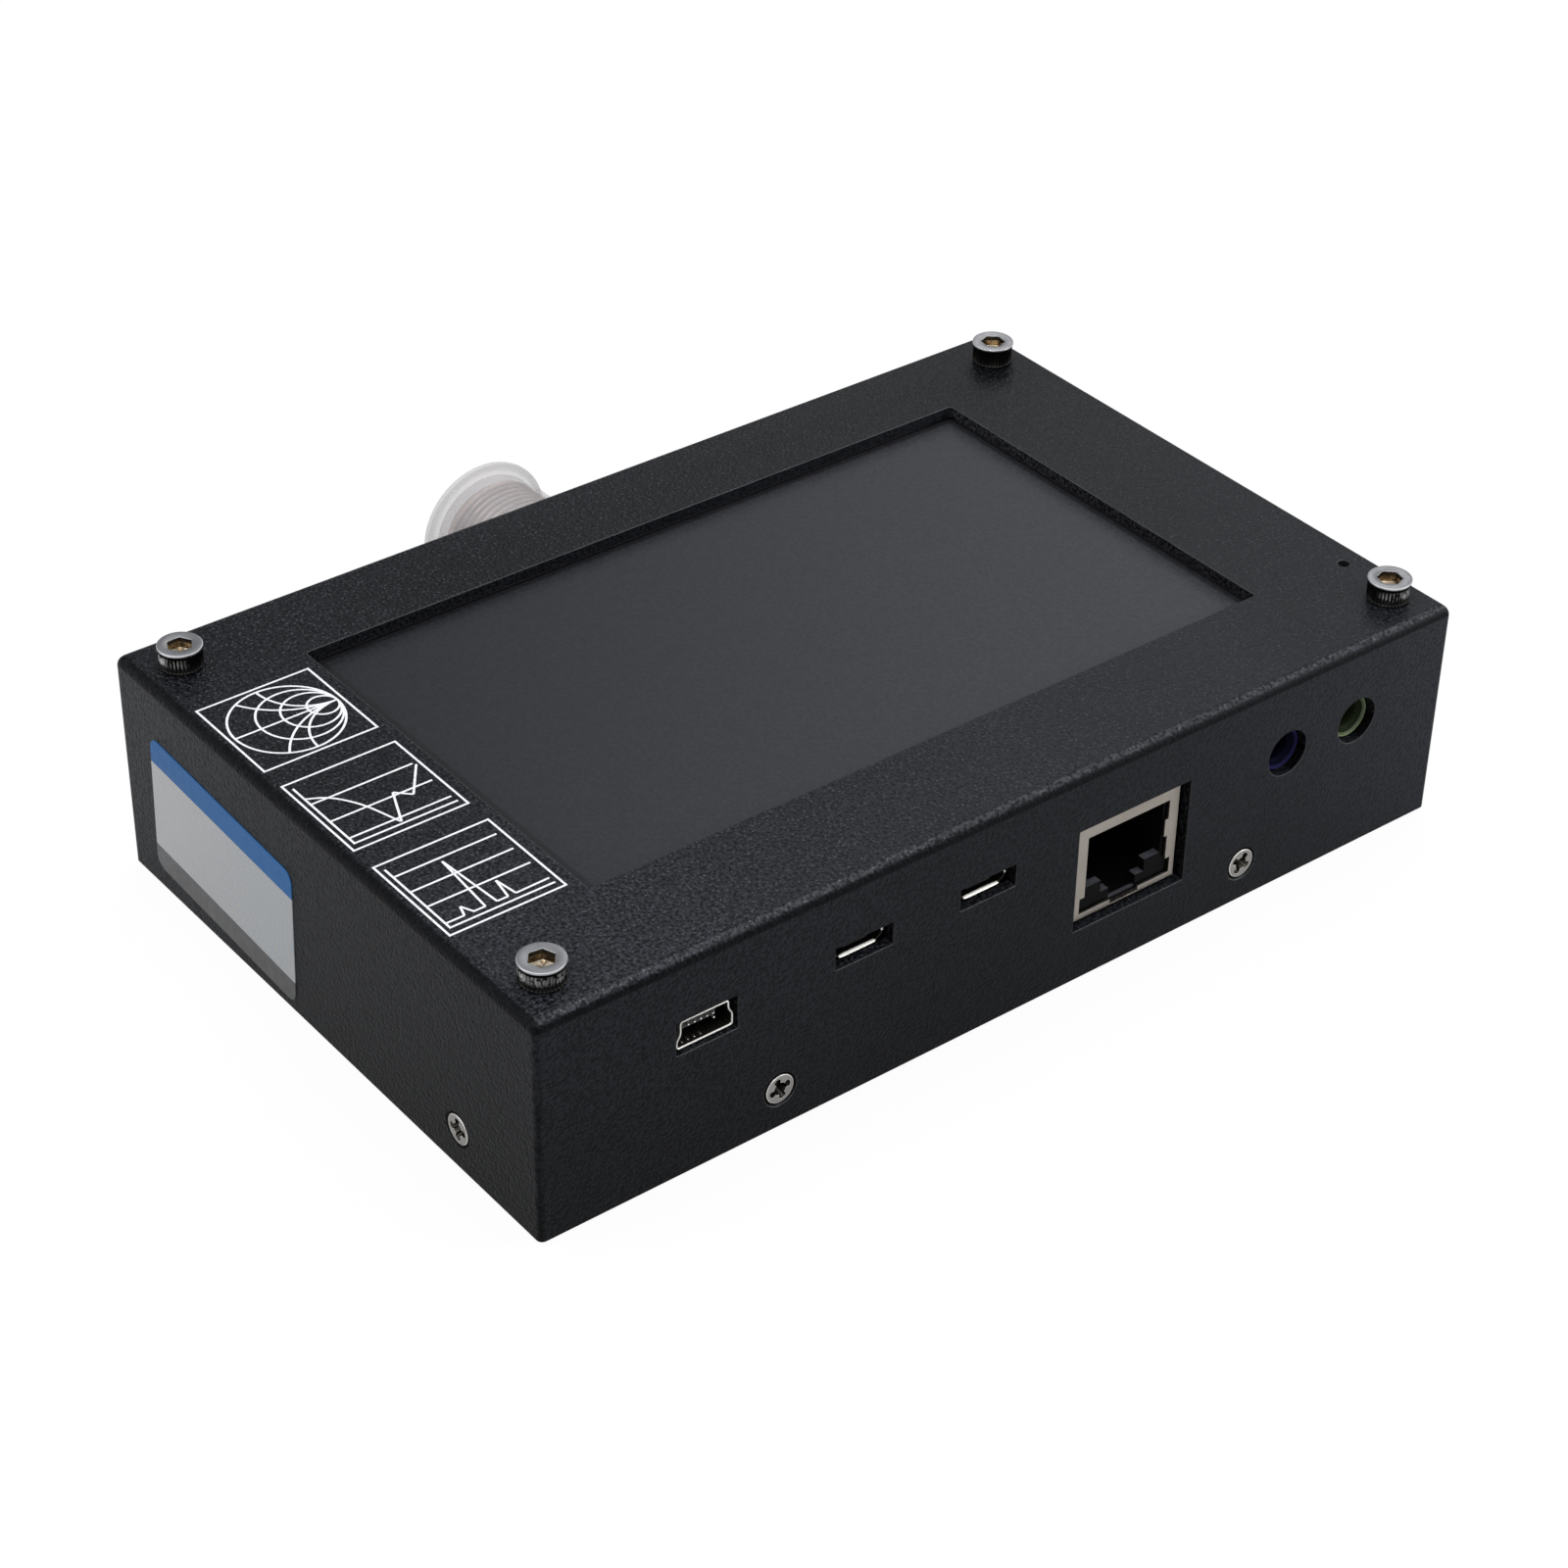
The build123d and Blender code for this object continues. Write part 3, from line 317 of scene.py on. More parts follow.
def plastic(name, base, light, rough, grain=0.12, specular=0.4):
    """Moulded plastic: fine spark-eroded grain and a slight change of tone."""
    s = Shader(name)
    fine = s.noise(2200, 3.0)
    s.put(Base_Color=s.mix(s.vary(s.noise(90)), base, light), Specular_IOR_Level=specular)
    s.put(Roughness=s.vary(fine, rough - 0.05, rough + 0.07))
    s.put(Normal=s.bump(fine, grain, 0.03, s.rounded(0.1)))
    return s.mat


def painted_screen_rim_shade(s, x, y, width=0.7, left_width=2.25):
    """1 on the painted shade that the window's walls cast round the display, which is wider on the left."""
    left_end = SCREEN[0] - WINDOW[0] / 2 + left_width
    rim = s.spread(x, (left_end + 0.1) * MM, (left_end - 0.1) * MM)
    for at, middle, size in ((x, SCREEN[0], WINDOW[0]), (y, SCREEN[1], WINDOW[1])):
        away = s.math("ABSOLUTE", s.math("SUBTRACT", at, middle * MM))
        start = size / 2 - width
        rim = s.math("MAXIMUM", rim, s.spread(away, (start - 0.05) * MM, (start + 0.05) * MM))
    return rim


def screen_film():
    """Satin touch film over an unlit display: dark grey, painted lighter towards the right and the front,
    with painted shade along the window's walls and a little dust.
    """
    s = Shader("screen_film")
    x, y = s.place()[:2]
    dust = s.product(s.spread(s.cells(150), 0.022, 0.012), s.spread(s.noise(60), 0.58, 0.62))
    haze = s.noise(2300)
    # Lighter towards the right and the front: painted light.
    pale = s.spread(x, -50 * MM, 50 * MM)
    depth = s.product(s.spread(y, -26 * MM, 22 * MM, 0.17, -0.15), s.spread(pale, 0.0, 1.0, 1.0, 0.35))
    colour = s.mix(pale, (0.0205, 0.0210, 0.0245), (0.0375, 0.0380, 0.0435))
    colour = s.scaled(colour, s.math("ADD", depth, 1.0))
    colour = s.mix(s.product(painted_screen_rim_shade(s, x, y), 0.6), colour, (0.009, 0.0092, 0.011))
    colour = s.scaled(colour, s.spread(haze, 0.35, 0.65, 0.82, 1.18))
    colour = s.mix(s.product(dust, 0.6), colour, (0.42, 0.42, 0.42))
    s.put(Base_Color=colour, Roughness=s.vary(haze, 0.50, 0.60))
    s.put(Normal=s.bump(haze, 0.1, 0.03), Specular_IOR_Level=0.12)
    return s.mat


def printed_white():
    """Screen-printed white ink, a little worn and uneven."""
    s = Shader("printed_white")
    worn = s.noise(2600, 3.0)
    colour = s.mix(s.spread(worn, 0.45, 0.8), (0.86, 0.86, 0.88), (0.62, 0.62, 0.64))
    s.put(Base_Color=colour, Roughness=0.55, Normal=s.bump(worn, 0.15, 0.03))
    return s.mat


def rosette(s, field, centre, scale):
    """Fine wavy rings round a place on the label."""
    moved = s.node("ShaderNodeVectorMath", {0: field, 1: centre}, operation="SUBTRACT").outputs[0]
    inputs = {"Vector": moved, "Scale": scale, "Distortion": 6.0, "Detail": 1.0, "Detail Scale": 0.3}
    rings = s.node("ShaderNodeTexWave", inputs, wave_type="RINGS", rings_direction="SPHERICAL")
    return s.spread(rings.outputs["Fac"], 0.75, 0.95)


def label_print(blue_height=3.7, grey_height=3.4):
    """A bare label: blue band on top, silver field with faint fine rosettes, grey band below."""
    s = Shader("label_print")
    field = s.node("ShaderNodeUVMap", uv_map="label").outputs[0]
    across, up = s.split(field)[:2]
    half_x, half_y = LABEL[0] / 2, LABEL[1] / 2
    blue = s.math("GREATER_THAN", up, half_y - blue_height)
    grey = s.math("LESS_THAN", up, grey_height - half_y)
    right_rings = rosette(s, field, (9.0, -3.0, 0.0), 0.42)
    left_rings = rosette(s, field, (-3.0, 1.0, 0.0), 0.36)
    rings = s.math("MAXIMUM", right_rings, left_rings)
    lines = s.product(rings, s.spread(across, -8.0, 10.0, 0.25, 1.0), 0.5)
    to_right = s.spread(across, -half_x, half_x)
    silver = s.mix(to_right, (0.465, 0.46, 0.46), (0.425, 0.41, 0.40))
    silver = s.mix(lines, silver, (0.27, 0.39, 0.50))
    band = s.mix(to_right, (0.022, 0.118, 0.325), (0.020, 0.125, 0.34))
    low = s.mix(s.vary(s.noise(300)), (0.088, 0.088, 0.09), (0.105, 0.105, 0.108))
    low = s.scaled(low, s.spread(across, -half_x, half_x, 0.95, 0.58))
    s.put(Base_Color=s.mix(grey, s.mix(blue, silver, band), low), Metallic=0.15)
    s.put(Roughness=s.vary(s.noise(900), 0.3, 0.42), Specular_IOR_Level=s.spread(blue, 0.0, 1.0, 0.5, 0.12))
    s.put(Normal=s.bump(s.noise(240), 0.05, 0.2))
    return s.mat


def polyethylene(name, cover):
    """Milky translucent moulding with soft clouding; cover is how much it hides."""
    s = Shader(name)
    cloud = s.noise(140)
    streak = s.noise(1.0, at=s.stretched((90, 420, 90)))
    colour = s.mix(s.vary(cloud), (0.535, 0.51, 0.515), (0.635, 0.60, 0.61))
    s.put(Base_Color=colour, Roughness=s.vary(streak, 0.42, 0.55), Specular_IOR_Level=0.3)
    s.put(Alpha=s.vary(cloud, cover - 0.02, cover + 0.02), Normal=s.bump(streak, 0.06, 0.1))
    return s.mat


def threaded_nickel():
    """Warm nickel on the socket, dark in the roots of its thread."""
    s = Shader("nickel_brass")
    fine = s.noise(900)
    at = s.place()
    x = s.math("SUBTRACT", at[0], COAX[0] * MM)
    z = s.math("SUBTRACT", at[2], COAX[1] * MM)
    radius = s.math("SQRT", s.math("ADD", s.product(x, x), s.product(z, z)))
    flange_end = Y1 + COAX_FLANGE[1]
    root = s.product(s.spread(radius, (COAX_THREAD_R - 0.18) * MM, (COAX_THREAD_R - 0.45) * MM),
                     s.spread(at[1], (flange_end + 0.05) * MM, (flange_end + 0.25) * MM))
    colour = s.mix(s.vary(fine), (0.62, 0.50, 0.44), (0.50, 0.40, 0.345))
    s.put(Base_Color=s.mix(root, colour, (0.035, 0.028, 0.025)), Metallic=s.spread(root, 0.0, 1.0, 1.0, 0.2))
    s.put(Roughness=s.vary(fine, 0.36, 0.46), Normal=s.bump(fine, 0.02, 0.03, s.rounded(0.1)))
    return s.mat


def ledge_plastic():
    """Black moulded plastic, with painted light on the faces that look up in the network socket's mouth."""
    s = Shader("ledge_plastic")
    fine = s.noise(2200, 3.0)
    y, z = s.place()[1:]
    mouth = s.math("MAXIMUM", s.spread(y, (2.0 - Y1) * MM, (1.8 - Y1) * MM), s.spread(z, 9.6 * MM, 9.8 * MM))
    mouth = s.product(mouth, s.spread(y, (4.6 - Y1) * MM, (3.4 - Y1) * MM))
    # Faces that look up in the mouth are lighter: painted light falling in from above.
    painted_ledge_light = s.product(s.spread(s.facing()[2], 0.4, 0.9), mouth, s.spread(fine, 0.2, 0.6, 0.6, 1.0))
    colour = s.mix(painted_ledge_light, (0.004, 0.004, 0.0045), (0.075, 0.077, 0.088))
    s.put(Base_Color=colour, Roughness=s.vary(fine, 0.36, 0.48), Specular_IOR_Level=0.04)
    s.put(Normal=s.bump(fine, 0.12, 0.03, s.rounded(0.1)))
    return s.mat


def circuit_board():
    """Green solder resist with faint traces and gilt pads."""
    s = Shader("circuit_board")
    inputs = {"Vector": s.coords, "Scale": 420.0, "Mortar Size": 0.03,
              "Color1": rgba(BLACK), "Color2": rgba(BLACK), "Mortar": (1, 1, 1, 1)}
    grid = s.node("ShaderNodeTexBrick", inputs)
    trace = s.product(grid.outputs["Fac"], s.spread(s.noise(140), 0.45, 0.55))
    pads = s.product(s.spread(s.cells(300), 0.14, 0.11), s.spread(s.noise(90), 0.5, 0.56))
    colour = s.mix(s.product(trace, 0.6), (0.008, 0.05, 0.026), (0.02, 0.12, 0.055))
    s.put(Base_Color=s.mix(pads, colour, (0.62, 0.47, 0.20)), Roughness=0.36, Metallic=pads)
    s.put(Normal=s.bump(s.math("ADD", trace, pads), 0.3, 0.04))
    return s.mat


def foam():
    """Black foam with open pores."""
    s = Shader("foam")
    pores = s.cells(1800)
    colour = s.mix(s.spread(pores, 0.0, 0.5), (0.012, 0.012, 0.012), (0.05, 0.05, 0.05))
    s.put(Base_Color=colour, Roughness=0.92, Normal=s.bump(pores, 0.5, 0.2))
    return s.mat


def clear_lamp():
    """The cloudy clear resin of the charging lamp."""
    s = Shader("clear_lamp")
    cloud = s.noise(900)
    colour = s.mix(cloud, (0.30, 0.30, 0.32), (0.44, 0.44, 0.46))
    s.put(Base_Color=colour, Roughness=s.vary(cloud, 0.1, 0.2), Alpha=0.8)
    s.put(Normal=s.bump(cloud, 0.05, 0.1))
    return s.mat


MATERIALS = {
    "case_paint": powder_coat("case_paint", (0.0105, 0.0110, 0.0135), 0.42, 0.9),
    "stainless": metal("stainless", (0.235, 0.235, 0.245), (0.19, 0.19, 0.20), 0.42),
    "plated_brass": metal("plated_brass", (0.60, 0.58, 0.52), (0.48, 0.46, 0.40), 0.25, (300, 300, 4000)),
    "circuit_board": circuit_board(),
    "black_plastic": plastic("black_plastic", (0.012, 0.012, 0.0125), (0.016, 0.016, 0.0165), 0.42),
    "gold_contact": metal("gold_contact", (0.80, 0.60, 0.25), (0.66, 0.47, 0.17), 0.2),
    "cap_plastic": polyethylene("cap_plastic", 0.32),
    "cell_foil": metal("cell_foil", (0.62, 0.63, 0.65), (0.52, 0.53, 0.55), 0.32, (500, 500, 500), 0.4),
    "foam": foam(),
    "lamp": clear_lamp(),
    "label_film": label_print(),
    "screen_glass": screen_film(),
    "display": plastic("display", (0.012, 0.012, 0.014), (0.016, 0.016, 0.018), 0.3),
    "nickel_shell": metal("nickel_shell", (0.43, 0.39, 0.345), (0.35, 0.32, 0.28), 0.3, (2600, 500, 500),
                          edge=0.15, shine=0.9),
    "nickel_brass": threaded_nickel(),
    "white_plastic": plastic("white_plastic", (0.72, 0.72, 0.70), (0.80, 0.80, 0.78), 0.45),
    "lead_red": plastic("lead_red", (0.30, 0.012, 0.012), (0.38, 0.02, 0.02), 0.5),
    "lead_black": plastic("lead_black", (0.012, 0.012, 0.012), (0.02, 0.02, 0.02), 0.5),
    "jack_blue": plastic("jack_blue", (0.030, 0.028, 0.130), (0.038, 0.035, 0.16), 0.45, 0.06, 0.04),
    "jack_green": plastic("jack_green", (0.25, 0.335, 0.15), (0.31, 0.40, 0.19), 0.45, 0.06, 0.04),
}
INK = printed_white()
SOCKET_BRONZE = metal("socket_bronze", (0.80, 0.68, 0.52), (0.13, 0.10, 0.065), 0.16, patches=650)
# Pale steel for the chamfers of the cap screws' heads and sockets: a painted highlight.
RIM_HIGHLIGHT = metal("rim_highlight_steel", (0.56, 0.565, 0.58), (0.44, 0.445, 0.46), 0.4)
FRAME_NICKEL = metal("frame_nickel", (0.42, 0.385, 0.34), (0.37, 0.335, 0.295), 0.36, (1500, 500, 500),
                     grain=0.05, edge=0.06, shine=0.3)
# Darkened steel for the cross recesses and the tops of the hex sockets: painted shade.
STEEL_IN_SHADE = metal("painted_steel_shade", (0.09, 0.08, 0.07), (0.03, 0.028, 0.025), 0.35)
SIDE_STEEL = metal("side_steel", (0.41, 0.40, 0.38), (0.32, 0.31, 0.295), 0.3, edge=0.14, shine=1.0)
# Near-black for the cap screws' grooves and the gaps round the cross screws' heads: painted shade.
SHADE_BLACK = plastic("painted_shade_black", (0.0012, 0.0012, 0.0013), (0.002, 0.002, 0.0021), 0.6, specular=0.03)
KNURLED = knurled()
# Pale nickel for lit socket mouths and turned-down edges, contact tips, glints and screw-head rings: a
# painted highlight.
NICKEL_HIGHLIGHT = metal("painted_nickel_highlight", (0.92, 0.90, 0.85), (0.80, 0.77, 0.72), 0.35)
SHADED_NICKEL = metal("shaded_nickel", (0.045, 0.042, 0.038), (0.03, 0.028, 0.025), 0.4)
LEDGE_BLACK = ledge_plastic()
TONGUE_GREY = plastic("tongue_grey", (0.045, 0.045, 0.050), (0.055, 0.055, 0.060), 0.45)
CAP_RIM = polyethylene("cap_rim", 0.38)
HALF_SHADED = {
    "jack_blue": plastic("dim_blue", (0.010, 0.010, 0.040), (0.013, 0.0125, 0.050), 0.5, specular=0.04),
    "jack_green": plastic("dim_green", (0.055, 0.075, 0.036), (0.07, 0.095, 0.045), 0.4),
}
SHADED = {
    "jack_blue": plastic("shaded_blue", (0.0022, 0.0025, 0.010), (0.003, 0.0035, 0.014), 0.5, specular=0.03),
    "jack_green": plastic("shaded_green", (0.012, 0.018, 0.008), (0.016, 0.024, 0.010), 0.5, specular=0.05),
}


# ---------------------------------------------------------------- mesh helpers
def make(name, verts, faces, materials, slot, body="case", replaces=(), indices=None, smooth=35):
    """One named piece from points in millimetres, riding on its body."""
    mesh = bpy.data.meshes.new(name)
    mesh.from_pydata([tuple(c * MM for c in v) for v in verts], [], faces)
    for mat in materials if isinstance(materials, (list, tuple)) else [materials]:
        mesh.materials.append(mat)
    if indices:
        mesh.polygons.foreach_set("material_index", indices)
    mesh.validate()
    mesh.polygons.foreach_set("use_smooth", [True] * len(mesh.polygons))
    mesh.set_sharp_from_angle(angle=math.radians(smooth))
    piece = bpy.data.objects.new(name, mesh)
    scene.collection.objects.link(piece)
    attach(piece, body)
    if replaces:
        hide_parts(*replaces)
    return piece


def joined(parts):
    """Several (verts, faces) as one."""
    verts, faces = [], []
    for v, f in parts:
        start = len(verts)
        verts += v
        faces += [tuple(i + start for i in face) for face in f]
    return verts, faces


def loft(rings, start=False, end=False):
    """Closed rings of as many points each, joined by bands of faces, with the ends closed where asked."""
    count = len(rings[0])
    last = count * (len(rings) - 1)
    faces = []
    for first in range(0, last, count):
        for k in range(count):
            a, b = first + k, first + (k + 1) % count
            faces.append((a, b, b + count, a + count))
    if start:
        faces.append(tuple(reversed(range(count))))
    if end:
        faces.append(tuple(range(last, last + count)))
    return [point for ring in rings for point in ring], faces


def banded(bands, count, ends=()):
    """The material of each face of a loft: one for each band of faces, then those of its closed ends."""
    return [band for band in bands for _ in range(count)] + list(ends)


def lathe(rows, origin, axes, steps, closed=True):
    """Rings round an axis: each row is a radius, which may be a function of the angle, and a height."""
    o = Vector(origin)
    u, v, w = (Vector(a) for a in axes)
    rings = []
    for radius, height in rows:
        ring = []
        for k in range(steps):
            a = 2 * math.pi * k / steps
            r = radius(a) if callable(radius) else radius
            ring.append(o + (u * math.cos(a) + v * math.sin(a)) * r + w * height)
        rings.append(ring)
    return loft(rings, closed, closed)


def rounded_outline(corners, radius, steps=5):
    """A closed outline with each corner eased."""
    outline = []
    for i, corner in enumerate(corners):
        p = Vector(corner)
        back = Vector(corners[i - 1]) - p
        on = Vector(corners[(i + 1) % len(corners)]) - p
        cut = min(radius, back.length * 0.45, on.length * 0.45)
        a, b = p + back.normalized() * cut, p + on.normalized() * cut
        for k in range(steps + 1):
            t = k / steps
            outline.append(tuple((1 - t) ** 2 * a + 2 * t * (1 - t) * p + t * t * b))
    return outline


def inset(outline, distance):
    """A closed outline moved inwards by a distance, whichever way it runs."""
    area = sum(outline[i - 1][0] * p[1] - p[0] * outline[i - 1][1] for i, p in enumerate(outline))
    sign = 1 if area > 0 else -1
    moved = []
    for i, p in enumerate(outline):
        a = Vector(p) - Vector(outline[i - 1])
        b = Vector(outline[(i + 1) % len(outline)]) - Vector(p)
        normals = [Vector((-d.y, d.x)).normalized() for d in (a, b) if d.length > 1e-6]
        n = sum(normals, Vector((0, 0))).normalized() * sign
        reach = distance / max(0.5, n.dot(normals[0] * sign))
        moved.append((p[0] + n.x * reach, p[1] + n.y * reach))
    return moved


def shell_tube(outline, wall, y0, y1, x, z, ease=0.1):
    """A thin-walled tube along Y from an outline of (x, z) points, eased at its mouth, y0."""
    inner = inset(outline, wall)
    rings = [(outline, y1), (outline, y0 + ease), (inset(outline, ease * 0.4), y0 + ease * 0.3),
             (inset(outline, wall / 2), y0), (inset(outline, wall - ease * 0.4), y0 + ease * 0.3),
             (inner, y0 + ease), (inner, y1)]
    return loft([[(x + p[0], y, z + p[1]) for p in ring] for ring, y in rings])


def brick(x0, x1, y0, y1, z0, z1, ease=0.05):
    """A block with eased edges."""
    corners = rounded_outline([(x0, y0), (x1, y0), (x1, y1), (x0, y1)], ease * 2, 3)
    low = inset(corners, ease)
    rings = [(low, z0), (corners, z0 + ease), (corners, z1 - ease), (low, z1)]
    return loft([[(p[0], p[1], z) for p in ring] for ring, z in rings], True, True)


# ---------------------------------------------------------------- socket cap screws
HEAD_R = 2.79
HEAD_HEIGHT = 3.0
KNURL_R = 2.68
KNURL_DEPTH = 0.16
KNURLS = 36
KEY_FLATS = 2.85
KEY_TURNS = (21.5, 31.5, 47.5, 51.5)        # how far each screw's socket is turned, in degrees
# The pale chamfers are painted highlights; the groove's near-black and the dark top of each socket are
# painted shade.
HEAD_LOOKS = [MATERIALS["stainless"], SOCKET_BRONZE, KNURLED, RIM_HIGHLIGHT, SHADE_BLACK, STEEL_IN_SHADE]
HEAD_TOP, KEY_WALL, KNURL_SIDE, HEAD_RIM, HEAD_GROOVE, KEY_EDGE = range(len(HEAD_LOOKS))
HEAD_BANDS = ([KNURL_SIDE] * 6 + [HEAD_GROOVE] * 4 + [HEAD_RIM] * 3 + [HEAD_TOP] * 4 + [HEAD_RIM, KEY_EDGE]
              + [KEY_WALL] * 3)
UPRIGHT = ((1, 0, 0), (0, 1, 0), (0, 0, 1))


def hexagon(across_flats, turn):
    """The radius of a hexagon at an angle."""
    def radius(a):
        return across_flats / 2 / math.cos((a - turn + math.pi / 6) % (math.pi / 3) - math.pi / 6)
    return radius


def knurl(depth):
    """The radius of the knurled side at an angle."""
    def radius(a):
        return KNURL_R - depth * abs(2 * (a * KNURLS / (2 * math.pi) % 1.0) - 1)
    return radius


def cap_screw_head(x, y, turn):
    """Knurled M3 head with a relief groove, an eased top edge and a hex socket, and its faces' materials."""
    steps = 144
    key = hexagon(KEY_FLATS, turn)

    def narrowed(share):
        return lambda a: key(a) * share
    side = [(1.55, 0.0), (2.36, 0.0), (2.54, 0.14), (knurl(0.0), 0.30), (knurl(KNURL_DEPTH), 0.42),
            (knurl(KNURL_DEPTH), 2.16), (knurl(0.0), 2.30)]
    rim = [(2.46, 2.38), (2.46, 2.60), (2.72, 2.66), (2.78, 2.70), (HEAD_R, 2.84), (2.76, 2.93), (2.68, 2.98)]
    top = [(2.60, HEAD_HEIGHT), (1.80, HEAD_HEIGHT), (1.76, 2.985)]
    socket = [(narrowed(1.03), 2.95), (key, 2.86), (narrowed(0.995), 2.3), (narrowed(0.985), 1.5),
              (narrowed(0.6), 1.28), (0.05, 1.05)]
    verts, faces = lathe(side + rim + top + socket, (x, y, TOP), UPRIGHT, steps)
    return verts, faces, banded(HEAD_BANDS, steps, (KNURL_SIDE, KEY_WALL))


def cap_screws():
    """The four heads, each with the start of its shank below it."""
    parts, indices = [], []
    for (x, y), turn in zip(PILLARS, KEY_TURNS):
        verts, faces, looks = cap_screw_head(x, y, math.radians(turn))
        shank = lathe([(1.5, -5.0), (1.5, 0.02)], (x, y, TOP), UPRIGHT, 24)
        parts += [(verts, faces), shank]
        indices += looks + [HEAD_TOP] * len(shank[1])
    make("socket_cap_screws", *joined(parts), HEAD_LOOKS, "stainless", replaces=("cap_screws",),
         indices=indices, smooth=28)


# ---------------------------------------------------------------- countersunk cross screws
# The pale ring at each head's edge is a painted highlight; the black gap and the dark cross are painted
# shade.
CROSS_LOOKS = [SIDE_STEEL, STEEL_IN_SHADE, SHADE_BLACK, NICKEL_HIGHLIGHT]
FLAT, RECESS, SUNK_GAP, SUNK_RIM = range(len(CROSS_LOOKS))
CROSS_BANDS = [SUNK_GAP] * 6 + [SUNK_RIM] * 2 + [FLAT] + [RECESS] * 3


def cross(arm, core):
    """The radius of a cross recess at an angle: four tapering arms round a core."""
    def radius(a):
        return core + (arm - core) * abs(math.cos(2 * a)) ** 0.8 if math.cos(4 * a) > 0 else core
    return radius


def side_screws():
    """Eight screws round the bottom edge, each turned its own way, with painted shade in the gap round its
    head and in its cross, and a painted highlight on its edge.
    """
    steps = 96
    places = [((x, sy * Y1, SIDE_Z), (0, sy, 0), (1, 0, 0)) for sy in (-1, 1) for x in (-SIDE_X, SIDE_X)]
    places += [((sx * X1, y, SIDE_Z), (sx, 0, 0), (0, 1, 0)) for sx in (-1, 1) for y in (-SIDE_Y, SIDE_Y)]
    shank = [(1.25, -5.0), (1.25, -1.2), (1.35, -1.1)]
    gap = [(2.16, -0.24), (2.18, -0.18), (1.96, -0.24)]
    head = [(1.95, -0.12), (1.91, -0.06), (1.84, -0.04)]
    recess = [(cross(1.5, 0.84), -0.05), (cross(1.4, 0.76), -0.22), (cross(0.8, 0.42), -1.1), (0.05, -1.4)]
    parts, indices = [], []
    for number, (spot, out, across) in enumerate(places):
        w = Vector(out)
        u = Matrix.Rotation(math.radians(17 + 41 * number), 3, w) @ Vector(across)
        parts.append(lathe(shank + gap + head + recess, spot, (u, w.cross(u), w), steps))
        indices += banded(CROSS_BANDS, steps, (RECESS, RECESS))
    make("cross_screws", *joined(parts), CROSS_LOOKS, "stainless", replaces=("side_screws",),
         indices=indices, smooth=25)


# ---------------------------------------------------------------- printed symbols
LINE = 0.29
INK_Z = TOP + 0.015
INK_STEP = 0.0012               # each line lies this much above the one before, so that no two share a plane
SYMBOL_X = -59.7
SYMBOL_YS = (20.0, 0.95, -18.3)
SYMBOL_SIDE = 15.3
CHART_R = 6.95
SHARP_TURN = 1.2                # radians
DIP = [(-6.8, 4.0), (-5.0, 3.0), (-3.6, 1.6), (-2.0, -1.2), (-0.6, -5.5), (-0.35, -6.1)]
AFTER_DIP = [(1.9, -0.8), (3.6, -2.5), (7.1, 2.3)]
PEAKS = [(-6.85, -5.6), (-4.4, -5.6), (-3.9, -4.0), (-3.15, -5.6), (-1.65, -5.6), (-0.9, 4.1),
         (-0.1, -5.6), (1.35, -5.6), (1.9, -2.4), (2.4, -5.6), (6.9, -5.5)]


def ribbon(points, closed=False):
    """A flat printed line through points in the plan view, mitred at its corners."""
    count = len(points)
    verts, faces = [], []
    for i, (x, y) in enumerate(points):
        before = points[i - 1] if closed or i else None
        after = points[(i + 1) % count] if closed or i < count - 1 else None
        sides = []
        for a, b in ((before, (x, y)), ((x, y), after)):
            if a is not None and b is not None:
                d = Vector((b[0] - a[0], b[1] - a[1])).normalized()
                sides.append(Vector((-d.y, d.x)))
        n = sum(sides, Vector((0, 0))).normalized()
        reach = LINE / 2 / max(0.4, n.dot(sides[0]))
        verts += [(x + n.x * reach, y + n.y * reach, INK_Z), (x - n.x * reach, y - n.y * reach, INK_Z)]
    for i in range(count if closed else count - 1):
        a, b = 2 * i, 2 * ((i + 1) % count)
        faces.append((a + 1, b + 1, b, a))
    return verts, faces


def square(cx, cy):
    h = SYMBOL_SIDE / 2
    return ribbon([(cx - h, cy - h), (cx + h, cy - h), (cx + h, cy + h), (cx - h, cy + h)], True)


def arc(cx, cy, r, a0, a1, steps):
    return [(cx + r * math.cos(a0 + (a1 - a0) * k / steps), cy + r * math.sin(a0 + (a1 - a0) * k / steps))
            for k in range(steps + 1)]


def circle(cx, cy, r, steps):
    return ribbon(arc(cx, cy, r, 0, 2 * math.pi, steps)[:-1], True)


def impedance_chart(cx, cy):
    """Circles touching at the right of an outer circle, the real axis, and arcs that leave the same point."""
    touch = cx + CHART_R
    lines = [square(cx, cy), circle(cx, cy, CHART_R, 96)]
    lines += [circle(touch - CHART_R * share, cy, CHART_R * share, 72) for share in (0.745, 0.52, 0.28)]
    lines.append(ribbon([(cx - CHART_R, cy), (touch, cy)]))
    for angle in (90, 118.5):
        r = CHART_R * math.tan(math.radians(angle) / 2)
        sweep = math.radians(180 - angle)
        for side in (1, -1):
            start = -side * math.pi / 2
            lines.append(ribbon(arc(touch, cy + side * r, r, start, start - side * sweep, 40)))
    return lines


def straight_runs(points):
    """A line cut at its sharp turns, so that every run keeps its full width to the end."""
    runs = [[points[0]]]
    for before, here, after in zip(points, points[1:], points[2:]):
        runs[-1].append(here)
        if (Vector(here) - Vector(before)).angle(Vector(after) - Vector(here)) > SHARP_TURN:
            runs.append([here])
    runs[-1].append(points[-1])
    return runs


